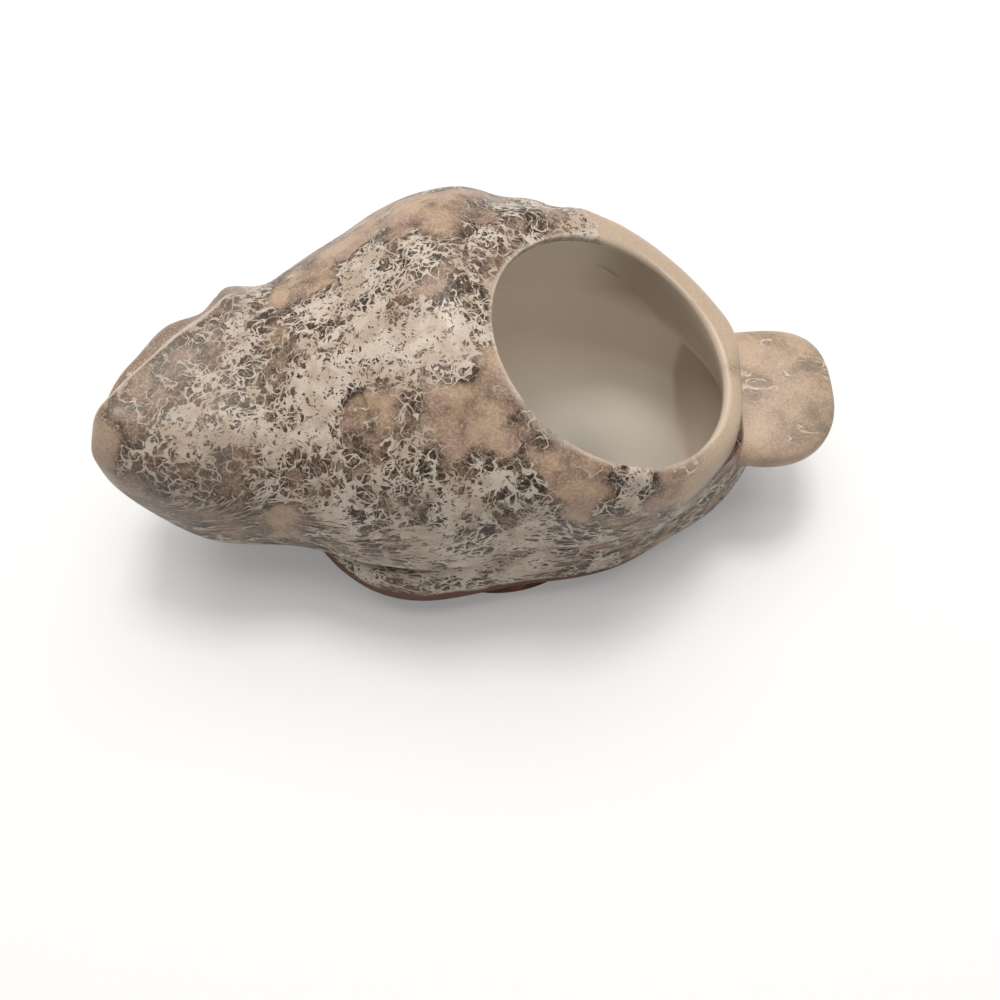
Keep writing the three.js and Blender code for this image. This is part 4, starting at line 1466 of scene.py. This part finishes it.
@dataclass
class Head:
    """Hollow head with its brow, ear tufts, eye discs, eyes and beak."""

    forms: SkinForms
    finishes: Finishes
    brow_half: float = 11.5
    brow_ahead: float = 1.6
    brow_back: float = 3.4
    brow_low: float = 31.0
    tuft_ahead: float = 5.0
    tuft_back: float = 5.0
    tuft_low: float = 32.0
    eye_radius: float = 4.7
    eye_bulge: float = 2.2
    beak_height: float = 24.4
    beak_length: float = 7.4
    beak_half: float = 3.0

    def _block(self, ahead: Point, out: Point, height: Point) -> bpy.types.Object:
        """Models a block in the turned head.

        Args:
            ahead: Its two ends ahead of the ends of the face.
            out: Its two ends to the right of the face's middle.
            height: Its two ends over the table.

        Returns:
            The block.
        """
        sizes = self.forms.sizes
        spans = np.array([ahead, out, height])
        deselect()
        bpy.ops.mesh.primitive_cube_add(
            size=1, location=sizes.to_body(spans.mean(1)) * MM, rotation=(0, 0, -sizes.head_turn),
            scale=(spans[:, 1] - spans[:, 0]) * MM)
        return named("head_cutter")

    def eye_frame(self, side: int) -> Matrix:
        """Finds where an eye sits and the way that the face looks there.

        Args:
            side: -1 for the owl's left, 1 for its right.

        Returns:
            A matrix that takes an eye modelled at the origin, looking along +Z, to its place.
        """
        sizes, relief = self.forms.sizes, self.forms.relief
        reach = self.eye_radius / 2
        spot = lambda out, up: sizes.to_body(np.array([
            sizes.face_ahead(side * (relief.eye_out + out), relief.eye_height + up),
            side * (relief.eye_out + out), relief.eye_height + up]))
        across = Vector(spot(side * reach, 0) - spot(-side * reach, 0))
        up = Vector(spot(0, reach) - spot(0, -reach))
        look = up.cross(across).normalized()
        ahead = Vector(sizes.to_body(np.array([1.0, 0, 0])) - sizes.to_body(np.zeros(3)))
        if look.dot(ahead) < 0:
            look.negate()
        turn = look.to_track_quat("Z", "Y").to_matrix().to_4x4()
        return Matrix.Translation(Vector(spot(0, 0)) * MM) @ turn

    def _disc_tool(self, side: int) -> bpy.types.Object:
        """Models the round cutter that an eye disc is cut out by.

        Args:
            side: -1 for the owl's left, 1 for its right.

        Returns:
            The cutter.
        """
        radius = self.forms.relief.disc_radius
        deselect()
        bpy.ops.mesh.primitive_cylinder_add(vertices=96, radius=radius * MM, depth=1.1 * radius * MM)
        bpy.context.object.matrix_world = self.eye_frame(side)
        return named("disc_cutter")

    def _eye(self, side: int) -> bpy.types.Object:
        """Models an eye: a low dome with a sunk ring around its pupil.

        Args:
            side: -1 for the owl's left, 1 for its right.

        Returns:
            The eye.
        """
        deselect()
        bpy.ops.mesh.primitive_uv_sphere_add(segments=72, ring_count=48, radius=MM)
        piece = named("eye")
        ball = corners(piece)
        rim = np.hypot(ball[:, 0], ball[:, 1])
        dome = ball * np.array([self.eye_radius, self.eye_radius, self.eye_bulge])
        ring = 0.28 * np.exp(-((rim - 0.52) / 0.07) ** 2) + 0.2 * np.exp(-((rim - 0.86) / 0.06) ** 2)
        dome[:, 2] -= np.where(ball[:, 2] > 0, ring, 0)
        move_corners(piece, dome)
        piece.matrix_world = self.eye_frame(side)
        bpy.ops.object.transform_apply(location=True, rotation=True, scale=True)
        return piece

    def _beak(self) -> bpy.types.Object:
        """Models the beak: a ball drawn down to a hooked point with a ridge along it.

        Returns:
            The beak.
        """
        sizes = self.forms.sizes
        deselect()
        bpy.ops.mesh.primitive_uv_sphere_add(segments=64, ring_count=56, radius=MM)
        piece = named("beak")
        across, deep, up = np.moveaxis(corners(piece), -1, 0)
        fall = (1 - up) / 2
        taper = np.sqrt(np.clip(1 - up * up, 1e-6, 1))
        width = self.beak_half * (1 - 0.72 * smooth(fall, 0.25, 1.0))
        ridge = 0.35 * np.exp(-(across / np.maximum(taper, 1e-3) / 0.3) ** 2) * (deep > 0)
        ahead = (self.beak_half * 0.8 * deep + ridge + 1.5 * np.sin(math.pi * np.clip(fall, 0, 1) * 0.8)
                 - 1.1 * smooth(fall, 0.72, 1.0))
        local = np.stack([ahead + sizes.face_ahead(0, self.beak_height) - 0.3, width * across,
                          self.beak_height + self.beak_length * (0.35 - fall)], -1)
        move_corners(piece, sizes.to_body(local))
        return piece

    def build(self) -> None:
        """Cuts the head out of the skin and models the eyes and beak on it."""
        forms, sizes = self.forms, self.forms.sizes
        beyond = 40.0
        self.head = copy_of(forms.cape, "head_shell")
        trim(self.head, (-sizes.neck_reach, 0, 0), (1, 0, 0))
        cut(self.head, forms.hollow)
        above = beyond + 10
        tools = {"brow_bar": self._block((-self.brow_back, self.brow_ahead),
                                         (-self.brow_half, self.brow_half), (self.brow_low, above))}
        for side, name in ((-1, "left"), (1, "right")):
            out = sorted((side * self.brow_half, side * beyond))
            tools[name + "_ear_tuft"] = self._block((-self.tuft_back, self.tuft_ahead), out,
                                                    (self.tuft_low, above))
            tools[name + "_eye_disc"] = self._disc_tool(side)
        self.plugs = {}
        for name, tool in tools.items():
            self.plugs[name] = copy_of(self.head, name)
            cut(self.plugs[name], tool, "INTERSECT")
        for side in ("left", "right"):
            for other in ("brow_bar", "left_ear_tuft", "right_ear_tuft"):
                cut(self.plugs[side + "_eye_disc"], tools[other])
        for tool in tools.values():
            cut(self.head, tool)
        scrap(*tools.values())
        self.features = {"left_eye": self._eye(-1), "right_eye": self._eye(1), "beak": self._beak()}
        for piece in self.features.values():
            tidy_normals(piece)
            cut(piece, forms.cape)

    def dress(self) -> None:
        """Glazes the pieces and hands them over."""
        self.forms.dress(self.head, self.forms.cape, self.finishes.webbed, self.finishes.liner)
        hand_over(self.head, "head_shell")
        for node, piece in self.plugs.items():
            self.forms.dress(piece, self.forms.cape, self.finishes.webbed, self.finishes.liner)
            hand_over(piece, node)
        for node, piece in self.features.items():
            tidy_normals(piece)
            round_off(piece, 50)
            piece.data.materials.clear()
            piece.data.materials.append(self.finishes.umber)
            hand_over(piece, node)


@dataclass
class Tail:
    """Rounded slab under the back of the mouth wall."""

    forms: SkinForms
    finishes: Finishes
    middle: float = 43.0
    half_length: float = 14.9
    half_width: float = 13.1
    shift: float = 1.6
    left_square: float = 2.2
    right_square: float = 3.1
    edge_square: float = 3.4
    flare: float = 0.008

    def build(self) -> None:
        """Models the slab from a ball that is squared off and cut where it meets the body."""
        sizes = self.forms.sizes
        deselect()
        bpy.ops.mesh.primitive_uv_sphere_add(segments=128, ring_count=64, radius=MM)
        self.slab = named("tail_slab")
        x, y, z = np.moveaxis(corners(self.slab), -1, 0)
        flat = np.hypot(x, y)
        angle = np.arctan2(y, x)
        square = np.where(y < 0, self.left_square, self.right_square)
        spread = (np.abs(np.cos(angle))**square + np.abs(np.sin(angle))**square) ** (-1 / square)
        swell = (flat**self.edge_square + np.abs(z)**self.edge_square) ** (-1 / self.edge_square)
        flat, z = flat * swell, z * swell
        thick = sizes.tail_thickness / 2
        along = self.middle + self.half_length * flat * spread * np.cos(angle)
        widen = 1 + self.flare * (along - self.middle)
        across = self.half_width * flat * spread * np.sin(angle) * widen + self.shift
        height = sizes.tail_top - thick + thick * z - 0.5 * (across / self.half_width) ** 2 * (z > 0)
        move_corners(self.slab, np.stack([along, across, height], -1))
        tidy_normals(self.slab)
        cut(self.slab, self.forms.cape)
        cut(self.slab, self.forms.bowl)

    def dress(self) -> None:
        """Glazes the slab and hands it over."""
        tidy_normals(self.slab)
        round_off(self.slab, 50)
        self.slab.data.materials.clear()
        self.slab.data.materials.append(self.finishes.pale)
        hand_over(self.slab, "tail_slab")


@dataclass
class Foot:
    """Oval unglazed pad that the belly is pressed into."""

    forms: SkinForms
    finishes: Finishes
    half_length: float = 23.5
    half_width: float = 26.4
    edge: float = 1.0

    def build(self) -> None:
        """Models the pad from a cylinder with a rounded edge, cut to the belly."""
        sizes = self.forms.sizes
        height = sizes.foot_height + sizes.foot_lip
        deselect()
        bpy.ops.mesh.primitive_cylinder_add(
            vertices=160, radius=1, depth=height * MM, location=(0, 0, height / 2 * MM),
            scale=(self.half_length * MM, self.half_width * MM, 1))
        self.pad = named("foot_pad")
        bpy.ops.object.mode_set(mode="EDIT")
        bpy.ops.mesh.select_all(action="DESELECT")
        bpy.ops.object.mode_set(mode="OBJECT")
        for edge in self.pad.data.edges:
            edge.select = all(self.pad.data.vertices[v].co.z < 0.1 * MM for v in edge.vertices)
        bpy.ops.object.mode_set(mode="EDIT")
        bpy.ops.mesh.select_mode(type="EDGE")
        bpy.ops.mesh.bevel(offset=self.edge * MM, segments=4)
        bpy.ops.object.mode_set(mode="OBJECT")
        tidy_normals(self.pad)
        cut(self.pad, self.forms.bowl)
        cut(self.pad, self.forms.cape)

    def dress(self) -> None:
        """Gives the pad its clay and hands it over."""
        tidy_normals(self.pad)
        round_off(self.pad)
        self.pad.data.materials.clear()
        self.pad.data.materials.append(self.finishes.clay)
        hand_over(self.pad, "foot_pad")


@dataclass
class Studio:
    """Pale floor, soft light and the camera."""

    camera_place: Spot = (0.85, -90.5, 168.0)
    camera_down: float = 63.7
    lens: float = 36.0
    floor_half: float = 1.6
    lamps: tuple[tuple[str, Spot, float, float], ...] = (
        ("ceiling", (0.0, 0.3, 0.95), 1.1, 8.0), ("window", (0.015, 0.27, 0.95), 0.25, 3.2))
    lamp_colour: Spot = (1.0, 0.975, 0.94)
    room_light: float = 0.23
    paper: float = 0.8
    paper_glow: float = 0.18

    def build(self) -> None:
        """Sets up the floor, the light and the camera."""
        self._floor()
        for lamp in self.lamps:
            self._lamp(*lamp)
        world = bpy.data.worlds.new("room_light")
        world.use_nodes = True
        sky = world.node_tree.nodes["Background"]
        sky.inputs["Color"].default_value = (1, 1, 1, 1)
        sky.inputs["Strength"].default_value = self.room_light
        scene = bpy.context.scene
        scene.world = world
        scene.view_settings.view_transform = "Standard"
        deselect()
        bpy.ops.object.camera_add(location=[v * MM for v in self.camera_place],
                                  rotation=(math.radians(90 - self.camera_down), 0, 0))
        camera = bpy.context.object
        camera.data.lens = self.lens
        camera.data.sensor_width = 36.0
        camera.data.sensor_fit = "HORIZONTAL"
        camera.data.clip_start = 0.01
        scene.camera = camera

    def _lamp(self, name: str, place: Spot, size: float, watts: float) -> None:
        """Hangs a soft square lamp that looks at the owl.

        Args:
            name: The lamp's name.
            place: Where it hangs, in metres.
            size: Its side, in metres.
            watts: Its power.
        """
        deselect()
        aim = (Vector((0, 0, 0.02)) - Vector(place)).to_track_quat("-Z", "Y").to_euler()
        bpy.ops.object.light_add(type="AREA", location=place, rotation=aim)
        lamp = bpy.context.object
        lamp.name = lamp.data.name = name
        lamp.data.size = size
        lamp.data.energy = watts
        lamp.data.color = self.lamp_colour

    def _floor(self) -> None:
        """Lays the floor: white paper that shows the owl's shadow."""
        deselect()
        bpy.ops.mesh.primitive_grid_add(x_subdivisions=8, y_subdivisions=8, size=2 * self.floor_half)
        floor = named("floor")
        book = FinishBook("white_paper")
        paper = book.add("ShaderNodeBsdfDiffuse", {}, {"Color": (self.paper, self.paper, self.paper, 1)})
        glow = book.add("ShaderNodeEmission", {}, {"Color": (1, 1, 1, 1), "Strength": self.paper_glow})
        rays = book.add("ShaderNodeLightPath")
        seen = rays.outputs["Is Camera Ray"]
        dark = book.add("ShaderNodeEmission", {}, {"Strength": 0.0})
        shown = book.add("ShaderNodeMixShader", {}, {0: seen, 1: dark.outputs[0], 2: glow.outputs[0]})
        both = book.add("ShaderNodeAddShader", {}, {0: paper.outputs[0], 1: shown.outputs[0]})
        book.add("ShaderNodeOutputMaterial", {}, {"Surface": both.outputs[0]})
        floor.data.materials.append(book.material)


def main() -> None:
    """Builds the owl piece by piece, dresses it and sets up its portrait."""
    logging.basicConfig(level=logging.INFO, format="%(name)s %(message)s")
    deselect()
    sizes, relief = OwlForm(), Relief()
    glaze = WebbedGlaze(sizes, relief)
    finishes = Finishes(glaze.dress("webbed_glaze"), glaze.dress("pale_glaze", 0.45),
                        LinerGlaze().dress("liner_glaze_painted_shade"), UmberGlaze().dress("umber_glaze"),
                        BareClay().dress("bare_clay"))
    forms = SkinForms(sizes, relief)
    forms.build()
    parts = (Body(forms, finishes), Head(forms, finishes), Tail(forms, finishes), Foot(forms, finishes))
    for part in parts:
        part.build()
    for part in parts:
        part.dress()
    forms.clear()
    Studio().build()


if __name__ == "__main__":
    main()
